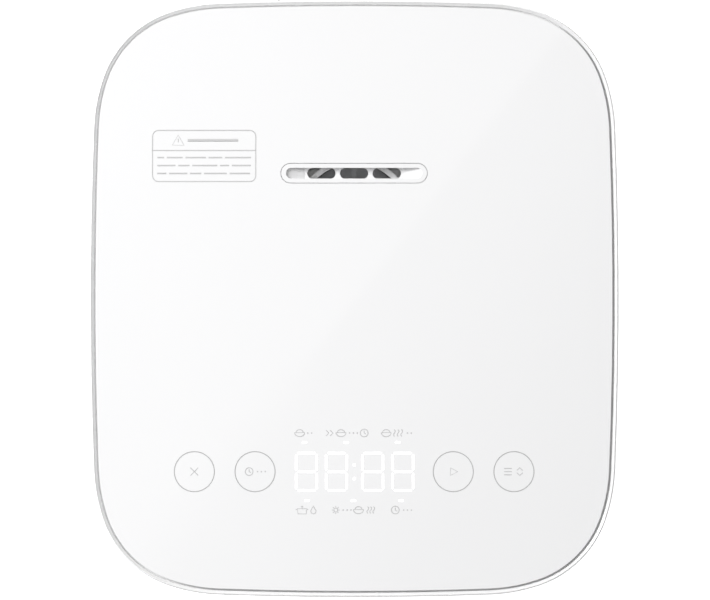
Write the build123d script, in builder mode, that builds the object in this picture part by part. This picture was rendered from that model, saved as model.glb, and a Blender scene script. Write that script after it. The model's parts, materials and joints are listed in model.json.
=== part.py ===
from build123d import *
from math import cos, radians, sin
import os

os.makedirs("parts", exist_ok=True)

# A rice cooker of about three litres with a hinged lid and a flat touch panel.
# Origin: on the resting plane, under the centre of the pot. +Z up, front towards -Y.

# ------------------------------------------------------------------ driving dimensions
# plan outline along the seam between the top panel and the lid's rim
HALF_WIDTH = 114.2
HALF_DEPTH = 129.1
CORNER_RADIUS = 44.3
EASING_RADIUS = 75.4
SIDE_TURN = 2.26
EASING_TURN = 16.56
FRONT_TURN = 2.05

# outlines, as growth of the seam outline
SEAM_GAP = 0.4
RIM_GROW = 2.4
SHELL_GROW = 2.7
FLOOR_GROW = -13.3
BASE_GROW = -14.5
WALL = 2.4

# heights
FOOT_TOP = 3.0
BASE_TOP = 12.0
SHELL_TOP = 150.0
LEDGE_UNDER = 154.5
LEDGE_Z = 156.9
RING_UNDER = 157.4
RING_TOP = 160.0
LID_BOTTOM = 160.8
LINER_BOTTOM = 161.4
LINER_TOP = 166.0
DECK_TOP = 209.5
DECK_THICK = 2.4
RIM_TOP = 211.7
LID_TOP = 212.0

# pot and what stands round it
POT_RADIUS = 94.5
POT_WALL = 1.6
POT_CORNER = 30.0
POT_BOTTOM = 40.0
FLANGE_RADIUS = 101.0
RING_BORE = 97.0
RING_RECESS = 102.5
HOUSING_RADIUS = 99.8
HOUSING_BOTTOM = 24.0
PLATE_RADIUS = 75.0
PLATE_BOTTOM = 29.0
PLATE_TOP = 39.7
CAP_RADIUS = 15.0

# circuit boards
BOARD_THICK = 1.6
DISPLAY_BOARD_TOP = 201.6
POWER_BOARD_BOTTOM = 8.6

# lid hinge
HINGE_Y = 129.0
HINGE_Z = 171.0
BARREL_RADIUS = 7.0
BARREL_HALF = 33.4
EAR_INNER = 34.0
EAR_OUTER = 44.0
PIN_RADIUS = 2.0

# top controls, in plan
TOUCH_X = (-70.3, -43.6, 43.6, 70.3)
TOUCH_Y = -76.1
VENT_Y = 55.2
VENT_LENGTH = 64.7
VENT_WIDTH = 8.9
PILL_PITCH = 14.4
PILL_LENGTH = 12.5
PILL_WIDTH = 4.7
VALVE_Y = 35.8
VALVE_RADIUS = 26.2
VALVE_WALL = 2.3
PROBE_X = -52.0

# front latch
BUTTON_Z = 140.0
LATCH_PIVOT_Y = -112.5
LATCH_PIVOT_Z = 128.0

# screws of the case, as radii and depths
SCREW_SHANK = 1.45
SCREW_PILOT = 1.5
SCREW_CLEAR = 1.7
SCREW_HEAD = 3.2
HEAD_HEIGHT = 1.7
HEAD_SINK = 3.4
SINK_DEPTH = 1.9

DECK_BOTTOM = DECK_TOP - DECK_THICK


# ------------------------------------------------------------------ plan outline
def direction(angle):
    """Unit vector in plan, at an angle in degrees from +X."""
    return Vector(cos(radians(angle)), sin(radians(angle)))


def quadrant_arcs():
    """Five tangent arcs, each as centre, radius, start angle and turn, from +X to +Y."""
    start = SIDE_TURN
    end = 90 - FRONT_TURN
    blend = EASING_RADIUS - CORNER_RADIUS
    first = direction(start)
    last = direction(end)
    corner_in = direction(start + EASING_TURN)
    corner_out = direction(end - EASING_TURN)
    # the side and front radii follow from closing the chain of arcs
    x_sum = -HALF_WIDTH + EASING_RADIUS * (first.X - last.X) - blend * (corner_in.X - corner_out.X)
    y_sum = HALF_DEPTH + EASING_RADIUS * (first.Y - last.Y) - blend * (corner_in.Y - corner_out.Y)
    determinant = -(1 - first.X) * (1 - last.Y) + last.X * first.Y
    side_radius = (x_sum * (1 - last.Y) + last.X * y_sum) / determinant
    front_radius = (-(1 - first.X) * y_sum - first.Y * x_sum) / determinant
    side = Vector(HALF_WIDTH - side_radius, 0)
    easing_a = side + first * (side_radius - EASING_RADIUS)
    corner = easing_a + corner_in * blend
    easing_b = corner - corner_out * blend
    front = Vector(0, HALF_DEPTH - front_radius)
    return (
        (side, side_radius, 0, start),
        (easing_a, EASING_RADIUS, start, EASING_TURN),
        (corner, CORNER_RADIUS, start + EASING_TURN, end - start - 2 * EASING_TURN),
        (easing_b, EASING_RADIUS, end - EASING_TURN, EASING_TURN),
        (front, front_radius, end, FRONT_TURN),
    )


ARCS = quadrant_arcs()


class PlanOutline(BaseSketchObject):
    """The rounded plan outline, grown outward by an amount."""

    def __init__(self, grow=0, mode=Mode.ADD):
        with BuildSketch() as outline:
            with BuildLine():
                for centre, radius, start, turn in ARCS:
                    CenterArc(centre, radius + grow, start, turn)
                mirror(about=Plane.YZ)
                mirror(about=Plane.XZ)
            make_face()
        super().__init__(obj=outline.sketch, mode=mode)


def outline_slab(grow, bottom, top, mode=Mode.ADD):
    """The plan outline extruded between two heights, in the open part."""
    with BuildSketch(Plane.XY.offset(bottom)) as slab:
        PlanOutline(grow)
    extrude(slab.sketch, amount=top - bottom, mode=mode)


def disc(radius, bottom, top, x=0, y=0, mode=Mode.ADD):
    """An upright cylinder between two heights, in the open part."""
    with BuildSketch(Plane.XY.offset(bottom)) as base_circle:
        with Locations((x, y)):
            Circle(radius)
    extrude(base_circle.sketch, amount=top - bottom, mode=mode)


def block(x_range, y_range, z_range, mode=Mode.ADD):
    """A box between two corners, in the open part."""
    size = [high - low for low, high in (x_range, y_range, z_range)]
    with Locations((x_range[0], y_range[0], z_range[0])):
        Box(*size, align=(Align.MIN, Align.MIN, Align.MIN), mode=mode)


def rod(radius, start, end, mode=Mode.ADD):
    """A cylinder from one point to another, in the open part."""
    axis = Vector(*end) - Vector(*start)
    with BuildSketch(Plane(origin=start, z_dir=axis)) as section:
        Circle(radius)
    extrude(section.sketch, amount=axis.length, mode=mode)


def turned(points, y=0, mode=Mode.ADD):
    """A closed profile of (radius, height) points turned about an upright axis."""
    with BuildSketch(Plane.XZ.offset(-y)) as profile:
        with BuildLine():
            Polyline(*points, close=True)
        make_face()
    revolve(profile.sketch, Axis((0, y, 0), (0, 0, 1)), mode=mode)


def prism_yz(points, x_low, x_high, mode=Mode.ADD):
    """A closed (y, z) profile extruded along X, in the open part."""
    with BuildSketch(Plane.YZ.offset(x_low)) as profile:
        with BuildLine():
            Polyline(*points, close=True)
        make_face()
    extrude(profile.sketch, amount=x_high - x_low, mode=mode)


def wall_point(angle, grow):
    """Point of the corner arc, grown by an amount, at an angle from +X."""
    centre, radius = ARCS[2][:2]
    return centre + direction(angle) * (radius + grow)


def four_corners(angle, grow):
    """A corner point and its three mirror images."""
    point = wall_point(angle, grow)
    return [(sx * point.X, sy * point.Y) for sx in (-1, 1) for sy in (-1, 1)]


def screw(head_radius, head_height, shank_radius, length, up=True):
    """A pan-head screw at the open part's locations: head below and shank upward."""
    rise = 1 if up else -1
    head = Align.MAX if up else Align.MIN
    shank = Align.MIN if up else Align.MAX
    Cylinder(head_radius, head_height, align=(Align.CENTER, Align.CENTER, head))
    Cylinder(shank_radius, length, align=(Align.CENTER, Align.CENTER, shank))
    recess = head_height * 0.5
    with Locations((0, 0, -rise * (head_height - recess / 2))):
        for width, depth in ((head_radius * 1.1, head_radius * 0.3), (head_radius * 0.3, head_radius * 1.1)):
            Box(width, depth, recess, mode=Mode.SUBTRACT)


def coil(radius, wire, turns, length):
    """A compression spring along +Z from the origin, as one swept round wire."""
    path = Helix(pitch=(length - wire) / turns, height=length - wire, radius=radius)
    with BuildPart() as spring:
        with BuildSketch(Plane(origin=path @ 0, z_dir=path % 0)):
            Circle(wire / 2)
        sweep(path=path, is_frenet=True)
    return spring.part.moved(Location((0, 0, wire / 2)))


def save(piece, name):
    """Label a finished part and write its STEP file."""
    piece.label = name
    export_step(piece, f"parts/{name}.step")


# ------------------------------------------------------------------ lid shell
RIM_SLOPE_WIDE = 0.7
RIM_SLOPE_DEEP = 1.4
BEVEL_WIDE = 1.2
BEVEL_DEEP = 0.8
LOWER_EDGE = 0.5
NOTCH_HALF = EAR_OUTER + 0.5
NOTCH_FRONT = 121.0
NOTCH_TOP = HINGE_Z + BARREL_RADIUS + 0.8
LID_BOSS = 4.5
LID_BOSS_BOTTOM = LINER_TOP + 0.2
LID_PILOT_DEPTH = 12.8
POST_RADIUS = 3.0
POST_PILOT = 1.25
DISPLAY_WINDOW = ((-33, 33), (-97, -54))
TOUCH_HOLE = 7.0
VENT_WINDOW = ((-34, 34), (VENT_Y - 5, VENT_Y + 5))
lid_screw_places = four_corners(46, -11)
board_post_places = [(sx * 74, y) for sx in (-1, 1) for y in (-101, -53)]

with BuildPart() as lid_frame:
    outline_slab(RIM_GROW, LID_BOTTOM, RIM_TOP)
    rim_face = lid_frame.faces().sort_by(Axis.Z)[-1]
    chamfer(rim_face.edges(), length=RIM_SLOPE_WIDE, length2=RIM_SLOPE_DEEP, reference=rim_face)
    chamfer(lid_frame.faces().sort_by(Axis.Z)[0].edges(), length=LOWER_EDGE)
    outline_slab(RIM_GROW - WALL, LID_BOTTOM, DECK_BOTTOM, mode=Mode.SUBTRACT)
    outline_slab(SEAM_GAP, DECK_TOP, RIM_TOP, mode=Mode.SUBTRACT)
    # bevel that falls from the rim's crest to the panel's seam
    with BuildSketch(Plane.XY.offset(RIM_TOP)):
        PlanOutline(SEAM_GAP + BEVEL_WIDE)
    with BuildSketch(Plane.XY.offset(RIM_TOP - BEVEL_DEEP)):
        PlanOutline(SEAM_GAP)
    loft(ruled=True, mode=Mode.SUBTRACT)
    # bosses under the deck: for the liner's screws and for the display board
    for x, y in lid_screw_places:
        disc(LID_BOSS, LID_BOSS_BOTTOM, DECK_BOTTOM, x, y)
        disc(SCREW_PILOT, LID_BOSS_BOTTOM, LID_BOSS_BOTTOM + LID_PILOT_DEPTH, x, y, mode=Mode.SUBTRACT)
    for x, y in board_post_places:
        disc(POST_RADIUS, DISPLAY_BOARD_TOP, DECK_BOTTOM, x, y)
        disc(POST_PILOT, DISPLAY_BOARD_TOP, DECK_BOTTOM, x, y, mode=Mode.SUBTRACT)
    # windows through the deck: display, touch springs and steam vent
    block(*DISPLAY_WINDOW, (DECK_BOTTOM, DECK_TOP), mode=Mode.SUBTRACT)
    for x in TOUCH_X:
        disc(TOUCH_HOLE, DECK_BOTTOM, DECK_TOP, x, TOUCH_Y, mode=Mode.SUBTRACT)
    disc(VALVE_RADIUS - VALVE_WALL, DECK_BOTTOM, DECK_TOP, 0, VALVE_Y, mode=Mode.SUBTRACT)
    block(*VENT_WINDOW, (DECK_BOTTOM, DECK_TOP), mode=Mode.SUBTRACT)
    # notch in the rear wall for the hinge
    block((-NOTCH_HALF, NOTCH_HALF), (NOTCH_FRONT, HALF_DEPTH + SHELL_GROW), (LID_BOTTOM, NOTCH_TOP),
          mode=Mode.SUBTRACT)
save(lid_frame.part, "lid_frame")

PANEL_EDGE = 0.2

with BuildPart() as top_panel:
    outline_slab(-SEAM_GAP, DECK_TOP, LID_TOP)
    fillet(top_panel.faces().sort_by(Axis.Z)[-1].edges(), radius=PANEL_EDGE)
    with BuildSketch(Plane.XY.offset(DECK_TOP)):
        with Locations((0, VENT_Y)):
            SlotOverall(VENT_LENGTH, VENT_WIDTH)
    extrude(amount=LID_TOP - DECK_TOP, mode=Mode.SUBTRACT)
save(top_panel.part, "top_panel")


# ------------------------------------------------------------------ steam vent
GRILLE_BOTTOM = 205.0
SLOT_LENGTH = 60.0
SLOT_WIDTH = 4.7
SLOT_FLOOR = 208.6
SLOT_END_DEPTH = 0.8
GRILLE_GAP = 0.22
GRILLE_WALL = 1.2

with BuildPart() as slot_hollow:
    # round-ended recess whose floor rises towards both ends
    with BuildSketch(Plane.XY.offset(SLOT_FLOOR)):
        with Locations((0, VENT_Y)):
            SlotOverall(SLOT_LENGTH, SLOT_WIDTH)
    extrude(amount=LID_TOP - SLOT_FLOOR)
    with BuildSketch(Plane.XZ.offset(-VENT_Y)):
        with BuildLine():
            Polyline(
                (-SLOT_LENGTH / 2, LID_TOP),
                (-SLOT_LENGTH / 2, LID_TOP - SLOT_END_DEPTH),
                (-1.5 * PILL_PITCH, SLOT_FLOOR),
                (1.5 * PILL_PITCH, SLOT_FLOOR),
                (SLOT_LENGTH / 2, LID_TOP - SLOT_END_DEPTH),
                (SLOT_LENGTH / 2, LID_TOP),
                close=True,
            )
        make_face()
    extrude(amount=SLOT_WIDTH, both=True, mode=Mode.INTERSECT)

with BuildPart() as vent_grille:
    with BuildSketch(Plane.XY.offset(DECK_TOP)):
        with Locations((0, VENT_Y)):
            SlotOverall(VENT_LENGTH - 2 * GRILLE_GAP, VENT_WIDTH - 2 * GRILLE_GAP)
    extrude(amount=LID_TOP - DECK_TOP)
    with BuildSketch(Plane.XY.offset(GRILLE_BOTTOM)):
        with Locations((0, VENT_Y)):
            SlotOverall(SLOT_LENGTH + 2 * GRILLE_WALL, SLOT_WIDTH + 2 * GRILLE_WALL)
    extrude(amount=DECK_TOP - GRILLE_BOTTOM)
    add(slot_hollow.part, mode=Mode.SUBTRACT)
    # three steam holes right through
    with BuildSketch(Plane.XY.offset(GRILLE_BOTTOM)):
        with Locations(*[(k * PILL_PITCH, VENT_Y) for k in (-1, 0, 1)]):
            SlotOverall(PILL_LENGTH, PILL_WIDTH)
    extrude(amount=LID_TOP - GRILLE_BOTTOM, mode=Mode.SUBTRACT)
save(vent_grille.part, "vent_grille")

CUP_TOP = 203.5
CUP_FLANGE = 29.5
FLANGE_HEIGHT = 2.0
COLLAR_TOP = 197.0
COLLAR_RADIUS = 36.0
COLLAR_THICK = 2.0

with BuildPart() as steam_valve_cup:
    turned(
        (
            (VALVE_RADIUS - VALVE_WALL, LINER_TOP),
            (CUP_FLANGE, LINER_TOP),
            (CUP_FLANGE, LINER_TOP + FLANGE_HEIGHT),
            (VALVE_RADIUS, LINER_TOP + FLANGE_HEIGHT),
            (VALVE_RADIUS, COLLAR_TOP - COLLAR_THICK),
            (COLLAR_RADIUS, COLLAR_TOP - COLLAR_THICK),
            (COLLAR_RADIUS, COLLAR_TOP),
            (VALVE_RADIUS, COLLAR_TOP),
            (VALVE_RADIUS, CUP_TOP),
            (VALVE_RADIUS - VALVE_WALL, CUP_TOP),
        ),
        y=VALVE_Y,
    )
save(steam_valve_cup.part, "steam_valve_cup")

CAP_WALL = 1.8
CAP_BODY = 20.0
CAP_LID = VALVE_RADIUS - VALVE_WALL - 0.2
CAP_FLOOR = 165.0
CAP_FLOOR_THICK = 1.6
SEAL_RADIUS = 22.6
SEAL_BOTTOM = 164.0
SEAL_TOP = 169.0
SEAL_CHAMFER = 1.0
WINDOW_SIZE = (8, 7, 6)
WINDOW_DROP = 9.0
FLOOR_HOLE = 1.9
FLOOR_HOLE_RING = 11.5
OUTLET_SIZE = (9, 3.4)
OUTLET_RING = 21.4
RIB_HALF = 1.0
RIB_REACH = 22.0
RIB_HEIGHT = 3.0

with BuildPart() as steam_valve_cap:
    # cup whose lid stands under the vent: steam enters by the floor holes, leaves by the
    # side windows and rises through outlets at the lid's front edge
    turned(
        (
            (0, CAP_FLOOR),
            (CAP_BODY, CAP_FLOOR),
            (CAP_BODY, COLLAR_TOP - COLLAR_THICK),
            (CAP_LID, COLLAR_TOP - COLLAR_THICK),
            (CAP_LID, COLLAR_TOP),
            (0, COLLAR_TOP),
            (0, COLLAR_TOP - CAP_WALL),
            (CAP_BODY - CAP_WALL, COLLAR_TOP - CAP_WALL),
            (CAP_BODY - CAP_WALL, CAP_FLOOR + CAP_FLOOR_THICK),
            (0, CAP_FLOOR + CAP_FLOOR_THICK),
        ),
        y=VALVE_Y,
    )
    with Locations((0, VALVE_Y, CAP_FLOOR + CAP_FLOOR_THICK / 2)):
        with PolarLocations(FLOOR_HOLE_RING, 8):
            Cylinder(FLOOR_HOLE, 2 * CAP_FLOOR_THICK, mode=Mode.SUBTRACT)
    with Locations((0, VALVE_Y, COLLAR_TOP - WINDOW_DROP)):
        with PolarLocations(CAP_BODY - CAP_WALL / 2, 6):
            Box(*WINDOW_SIZE, mode=Mode.SUBTRACT)
    with BuildSketch(Plane.XY.offset(COLLAR_TOP - COLLAR_THICK)):
        with Locations((0, VALVE_Y)):
            with PolarLocations(OUTLET_RING, 3, start_angle=-140, angular_range=100, endpoint=True):
                Rectangle(OUTLET_SIZE[1], OUTLET_SIZE[0])
    extrude(amount=COLLAR_THICK, mode=Mode.SUBTRACT)
    # finger rib across the lid
    block(
        (-RIB_HALF, RIB_HALF),
        (VALVE_Y - RIB_REACH, VALVE_Y + RIB_REACH),
        (COLLAR_TOP, COLLAR_TOP + RIB_HEIGHT),
    )
save(steam_valve_cap.part, "steam_valve_cap")

with BuildPart() as steam_valve_seal:
    turned(
        (
            (CAP_BODY, SEAL_BOTTOM),
            (SEAL_RADIUS, SEAL_BOTTOM),
            (SEAL_RADIUS, SEAL_TOP - SEAL_CHAMFER),
            (SEAL_RADIUS - SEAL_CHAMFER, SEAL_TOP),
            (CAP_BODY, SEAL_TOP),
        ),
        y=VALVE_Y,
    )
save(steam_valve_seal.part, "steam_valve_seal")


# ------------------------------------------------------------------ lid underside
INNER_LID_TOP = 164.0
LINER_RECESS = 105.0
RECESS_WALL = 2.0
SHELF_THICK = 2.2
SHELF_TOP = LINER_BOTTOM + SHELF_THICK
LINER_GAP = 0.2
CHAMBER_RADIUS = SEAL_RADIUS + 0.2
PROBE_RADIUS = 4.0
PROBE_HEAD = 6.0
PROBE_BOTTOM = 163.2
PROBE_SHOULDER = 172.0
PROBE_TOP = 174.0
CATCH_SLOT = ((-10.6, 10.6), (-113.6, -104.0))
HOOK_SLOT = ((-8.2, 8.2), (-124.0, -117.6))
HINGE_SLOT_FRONT = 118.0

with BuildPart() as lid_liner:
    outline_slab(RIM_GROW - WALL - LINER_GAP, LINER_BOTTOM, LINER_TOP)
    # hollow above the shelf, outside the round recess
    outline_slab(-WALL, SHELF_TOP, LINER_TOP, mode=Mode.SUBTRACT)
    disc(LINER_RECESS + RECESS_WALL, SHELF_TOP, LINER_TOP)
    disc(LINER_RECESS, LINER_BOTTOM, INNER_LID_TOP, mode=Mode.SUBTRACT)
    for x, y in lid_screw_places:
        disc(LID_BOSS, SHELF_TOP, LINER_TOP, x, y)
        disc(SCREW_CLEAR, LINER_BOTTOM, LINER_TOP, x, y, mode=Mode.SUBTRACT)
        disc(HEAD_SINK, LINER_BOTTOM, LINER_BOTTOM + SINK_DEPTH, x, y, mode=Mode.SUBTRACT)
    # steam chamber, temperature probe and the hinge's part of the rear wall
    disc(CHAMBER_RADIUS, INNER_LID_TOP, LINER_TOP, 0, VALVE_Y, mode=Mode.SUBTRACT)
    disc(PROBE_RADIUS + LINER_GAP, INNER_LID_TOP, LINER_TOP, PROBE_X, 0, mode=Mode.SUBTRACT)
    block((-NOTCH_HALF, NOTCH_HALF), (HINGE_SLOT_FRONT, HALF_DEPTH + SHELL_GROW), (LINER_BOTTOM, LINER_TOP),
          mode=Mode.SUBTRACT)
    # front slots for the inner lid's catch and the lid's hook
    block(*CATCH_SLOT, (LINER_BOTTOM, LINER_TOP), mode=Mode.SUBTRACT)
    block(*HOOK_SLOT, (LINER_BOTTOM, LINER_TOP), mode=Mode.SUBTRACT)
save(lid_liner.part, "lid_liner")

PLATE_GAUGE = 1.0
DISH_BOTTOM = 159.6
DISH_RADIUS = 82.0
STEP_RADIUS = 88.0
STEP_SHIFT = 0.4
STEP_RISE = 2.0
GASKET_BORE = 98.0
STEAM_HOLE = 2.4
STEAM_HOLE_RING = 12.0

with BuildPart() as inner_lid:
    # pressed plate: dished middle, sloped step and flat rim
    turned(
        (
            (0, DISH_BOTTOM),
            (DISH_RADIUS, DISH_BOTTOM),
            (STEP_RADIUS, DISH_BOTTOM + STEP_RISE),
            (GASKET_BORE, DISH_BOTTOM + STEP_RISE),
            (GASKET_BORE, DISH_BOTTOM + STEP_RISE + PLATE_GAUGE),
            (STEP_RADIUS - STEP_SHIFT, DISH_BOTTOM + STEP_RISE + PLATE_GAUGE),
            (DISH_RADIUS - STEP_SHIFT, DISH_BOTTOM + PLATE_GAUGE),
            (0, DISH_BOTTOM + PLATE_GAUGE),
        )
    )
    with Locations((0, VALVE_Y, DISH_BOTTOM)):
        with PolarLocations(STEAM_HOLE_RING, 6):
            Cylinder(STEAM_HOLE, 4 * PLATE_GAUGE, mode=Mode.SUBTRACT)
save(inner_lid.part, "inner_lid")

LIP_BOTTOM = 158.9

with BuildPart() as inner_lid_gasket:
    # ring gripped by the plate's edge, with a soft lip that hangs over the pot's flange
    turned(
        (
            (GASKET_BORE, LIP_BOTTOM + 4.7),
            (GASKET_BORE + 5.4, LIP_BOTTOM + 4.7),
            (GASKET_BORE + 5.4, LIP_BOTTOM + 2.8),
            (GASKET_BORE + 3.2, LIP_BOTTOM + 2.8),
            (GASKET_BORE + 2.6, LIP_BOTTOM),
            (GASKET_BORE - 1.2, LIP_BOTTOM),
            (GASKET_BORE - 1.2, LIP_BOTTOM + 0.7),
            (GASKET_BORE + 1.4, LIP_BOTTOM + 1.5),
            (GASKET_BORE, LIP_BOTTOM + 2.3),
        )
    )
save(inner_lid_gasket.part, "inner_lid_gasket")

CATCH_HALF = 10.0
CATCH_FRONT = -110.6
CATCH_REAR = -104.2
CATCH_TAB = 2.0
CATCH_BOTTOM = 161.8
CATCH_TOP = 171.0
NOSE_HALF = 6.0
NOSE_FRONT = -108.0
NOSE_REAR = -101.6
NOSE_TOP = 161.3
NOSE_BOTTOM = 160.4

with BuildPart() as inner_lid_catch:
    catch_x = (-CATCH_HALF, CATCH_HALF)
    block(catch_x, (CATCH_FRONT, CATCH_REAR), (CATCH_BOTTOM, CATCH_BOTTOM + CATCH_TAB))
    block(catch_x, (CATCH_FRONT, CATCH_FRONT + CATCH_TAB), (CATCH_BOTTOM + CATCH_TAB, CATCH_TOP))
    # nose that reaches under the gasket's rim
    block((-NOSE_HALF, NOSE_HALF), (NOSE_FRONT, CATCH_REAR), (NOSE_TOP, CATCH_BOTTOM))
    block((-NOSE_HALF, NOSE_HALF), (NOSE_FRONT, NOSE_REAR), (NOSE_BOTTOM, NOSE_TOP))
save(inner_lid_catch.part, "inner_lid_catch")

CATCH_SPRING_Z = 168.0
STOP_HALF = 12.0
STOP_WALL = 2.0
STOP_FOOT = 3.4
STOP_FOOT_THICK = 1.6
STOP_REAR = -118.4
STOP_TOP = 172.0

catch_spring_coil = coil(radius=2.4, wire=0.7, turns=4, length=7.5)
catch_spring = catch_spring_coil.moved(Location((0, CATCH_FRONT - 0.1, CATCH_SPRING_Z), (90, 0, 0)))
save(catch_spring, "catch_spring")

with BuildPart() as catch_stop:
    # angle on the liner's front shelf that the catch spring pushes against
    stop_x = (-STOP_HALF, STOP_HALF)
    block(stop_x, (STOP_REAR - STOP_WALL, STOP_REAR), (SHELF_TOP, STOP_TOP))
    block(stop_x, (STOP_REAR, STOP_REAR + STOP_FOOT), (SHELF_TOP, SHELF_TOP + STOP_FOOT_THICK))
save(catch_stop.part, "catch_stop")

with BuildPart() as lid_sensor:
    # temperature probe with a flat head inside the lid
    with Locations((PROBE_X, 0, PROBE_BOTTOM)):
        Cylinder(PROBE_RADIUS, PROBE_TOP - PROBE_BOTTOM, align=(Align.CENTER, Align.CENTER, Align.MIN))
    with Locations((PROBE_X, 0, PROBE_SHOULDER)):
        Cylinder(PROBE_HEAD, PROBE_TOP - PROBE_SHOULDER, align=(Align.CENTER, Align.CENTER, Align.MIN))
save(lid_sensor.part, "lid_sensor")

with BuildPart() as lid_screws:
    with Locations(*[(x, y, LINER_BOTTOM + SINK_DEPTH) for x, y in lid_screw_places]):
        screw(SCREW_HEAD, HEAD_HEIGHT, SCREW_SHANK, 15)
save(lid_screws.part, "lid_screws")


# ------------------------------------------------------------------ display
MODULE_TOP = 208.8
MODULE_HALF = 29.5
MODULE_Y = (-87.2, -65.2)
MODULE_CORNER = 1.0
BOARD_SIZE = (160, 56)
BOARD_CORNER = 4.0
BOARD_Y = -77.0
DISPLAY_BOARD_BOTTOM = DISPLAY_BOARD_TOP - BOARD_THICK

with BuildPart() as display_board:
    with BuildSketch(Plane.XY.offset(DISPLAY_BOARD_BOTTOM)):
        with Locations((0, BOARD_Y)):
            RectangleRounded(*BOARD_SIZE, BOARD_CORNER)
        with Locations(*board_post_places):
            Circle(POST_PILOT + 0.1, mode=Mode.SUBTRACT)
    extrude(amount=BOARD_THICK)
save(display_board.part, "display_board")

with BuildPart() as board_screws_lid:
    with Locations(*[(x, y, DISPLAY_BOARD_BOTTOM) for x, y in board_post_places]):
        screw(2.6, 1.4, POST_PILOT - 0.05, 6)
save(board_screws_lid.part, "board_screws_lid")

with BuildPart() as display_module:
    block((-MODULE_HALF, MODULE_HALF), MODULE_Y, (DISPLAY_BOARD_TOP, MODULE_TOP))
    fillet(display_module.edges().filter_by(Axis.Z), radius=MODULE_CORNER)
save(display_module.part, "display_module")

# light guides of the six programme marks, a row behind the module and a row before it
GUIDE_PLACES = ((-21.8, -63.3), (-3.5, -63.3), (19.2, -63.3), (-20.7, -88.9), (-0.3, -88.9), (20.7, -88.9))
GUIDE_HALF = (1.6, 1.1)

with BuildPart() as indicator_guides:
    for x, y in GUIDE_PLACES:
        block(
            (x - GUIDE_HALF[0], x + GUIDE_HALF[0]),
            (y - GUIDE_HALF[1], y + GUIDE_HALF[1]),
            (DISPLAY_BOARD_TOP, MODULE_TOP),
        )
save(indicator_guides.part, "indicator_guides")

SPRING_TOP = 209.3
SPRING_FOOT = 3.0
SPRING_CROWN = 6.0
SPRING_WIRE = 1.0

with BuildPart() as touch_spring:
    # conical contact spring, as the thin envelope of its turns
    turned(
        (
            (SPRING_FOOT - SPRING_WIRE, DISPLAY_BOARD_TOP),
            (SPRING_FOOT, DISPLAY_BOARD_TOP),
            (SPRING_CROWN, SPRING_TOP),
            (SPRING_CROWN - SPRING_WIRE, SPRING_TOP),
        )
    )

with BuildPart() as touch_springs:
    with Locations(*[(x, TOUCH_Y, 0) for x in TOUCH_X]):
        add(touch_spring.part)
save(touch_springs.part, "touch_springs")

RIBBON_THICK = 0.5
RIBBON_TOP = 199.9
RIBBON_LOW = 168.0
RIBBON_FRONT = -51.0
RIBBON_BEND = -45.0
RIBBON_REAR = 104.0
RIBBON_X = (44, 60)

with BuildPart() as ribbon_cable:
    # flat cable from the board's rear edge, down in front of the chamber and back to the hinge
    prism_yz(
        (
            (RIBBON_FRONT, RIBBON_TOP),
            (RIBBON_FRONT, RIBBON_TOP - RIBBON_THICK),
            (RIBBON_BEND - RIBBON_THICK, RIBBON_TOP - RIBBON_THICK),
            (RIBBON_BEND - RIBBON_THICK, RIBBON_LOW),
            (RIBBON_REAR, RIBBON_LOW),
            (RIBBON_REAR, RIBBON_LOW + RIBBON_THICK),
            (RIBBON_BEND, RIBBON_LOW + RIBBON_THICK),
            (RIBBON_BEND, RIBBON_TOP),
        ),
        *RIBBON_X,
    )
save(ribbon_cable.part, "ribbon_cable")


# ------------------------------------------------------------------ hinge
PIN_CLEAR = 0.2
PIN_INSET = 1.0
PIN_CHAMFER = 0.4
SPRING_BORE = 5.4
KNUCKLE_CHEEK = 3.4
BRACKET_FRONT = 109.0
BRACKET_WALL = 3.0
ARM_BELOW = 3.0
ARM_ABOVE = 4.0
FLANGE_HALF = 58.0
FLANGE_RISE = (9.0, 20.0)

with BuildPart() as hinge_knuckle:
    rod(BARREL_RADIUS, (-BARREL_HALF, HINGE_Y, HINGE_Z), (BARREL_HALF, HINGE_Y, HINGE_Z))
    # arm, wall and wide flange that carry the barrel inside the lid
    block(
        (-BARREL_HALF, BARREL_HALF),
        (BRACKET_FRONT + BRACKET_WALL, HINGE_Y),
        (HINGE_Z - ARM_BELOW, HINGE_Z + ARM_ABOVE),
    )
    block(
        (-BARREL_HALF, BARREL_HALF),
        (BRACKET_FRONT, BRACKET_FRONT + BRACKET_WALL),
        (LINER_TOP, HINGE_Z + FLANGE_RISE[1]),
    )
    block(
        (-FLANGE_HALF, FLANGE_HALF),
        (BRACKET_FRONT, BRACKET_FRONT + BRACKET_WALL),
        (HINGE_Z + FLANGE_RISE[0], HINGE_Z + FLANGE_RISE[1]),
    )
    rod(
        SPRING_BORE,
        (-BARREL_HALF + KNUCKLE_CHEEK, HINGE_Y, HINGE_Z),
        (BARREL_HALF - KNUCKLE_CHEEK, HINGE_Y, HINGE_Z),
        mode=Mode.SUBTRACT,
    )
    rod(
        PIN_RADIUS + PIN_CLEAR,
        (-BARREL_HALF, HINGE_Y, HINGE_Z),
        (BARREL_HALF, HINGE_Y, HINGE_Z),
        mode=Mode.SUBTRACT,
    )
save(hinge_knuckle.part, "hinge_knuckle")

with BuildPart() as hinge_pin:
    rod(
        PIN_RADIUS,
        (-EAR_OUTER + PIN_INSET, HINGE_Y, HINGE_Z),
        (EAR_OUTER - PIN_INSET, HINGE_Y, HINGE_Z),
    )
    chamfer(hinge_pin.edges().filter_by(GeomType.CIRCLE), length=PIN_CHAMFER)
save(hinge_pin.part, "hinge_pin")

LID_SPRING_LENGTH = 56.0

lid_spring_coil = coil(radius=4.1, wire=1.2, turns=16, length=LID_SPRING_LENGTH)
lid_spring = lid_spring_coil.moved(Location((-LID_SPRING_LENGTH / 2, HINGE_Y, HINGE_Z), (0, 90, 0)))
save(lid_spring, "lid_spring")

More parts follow.
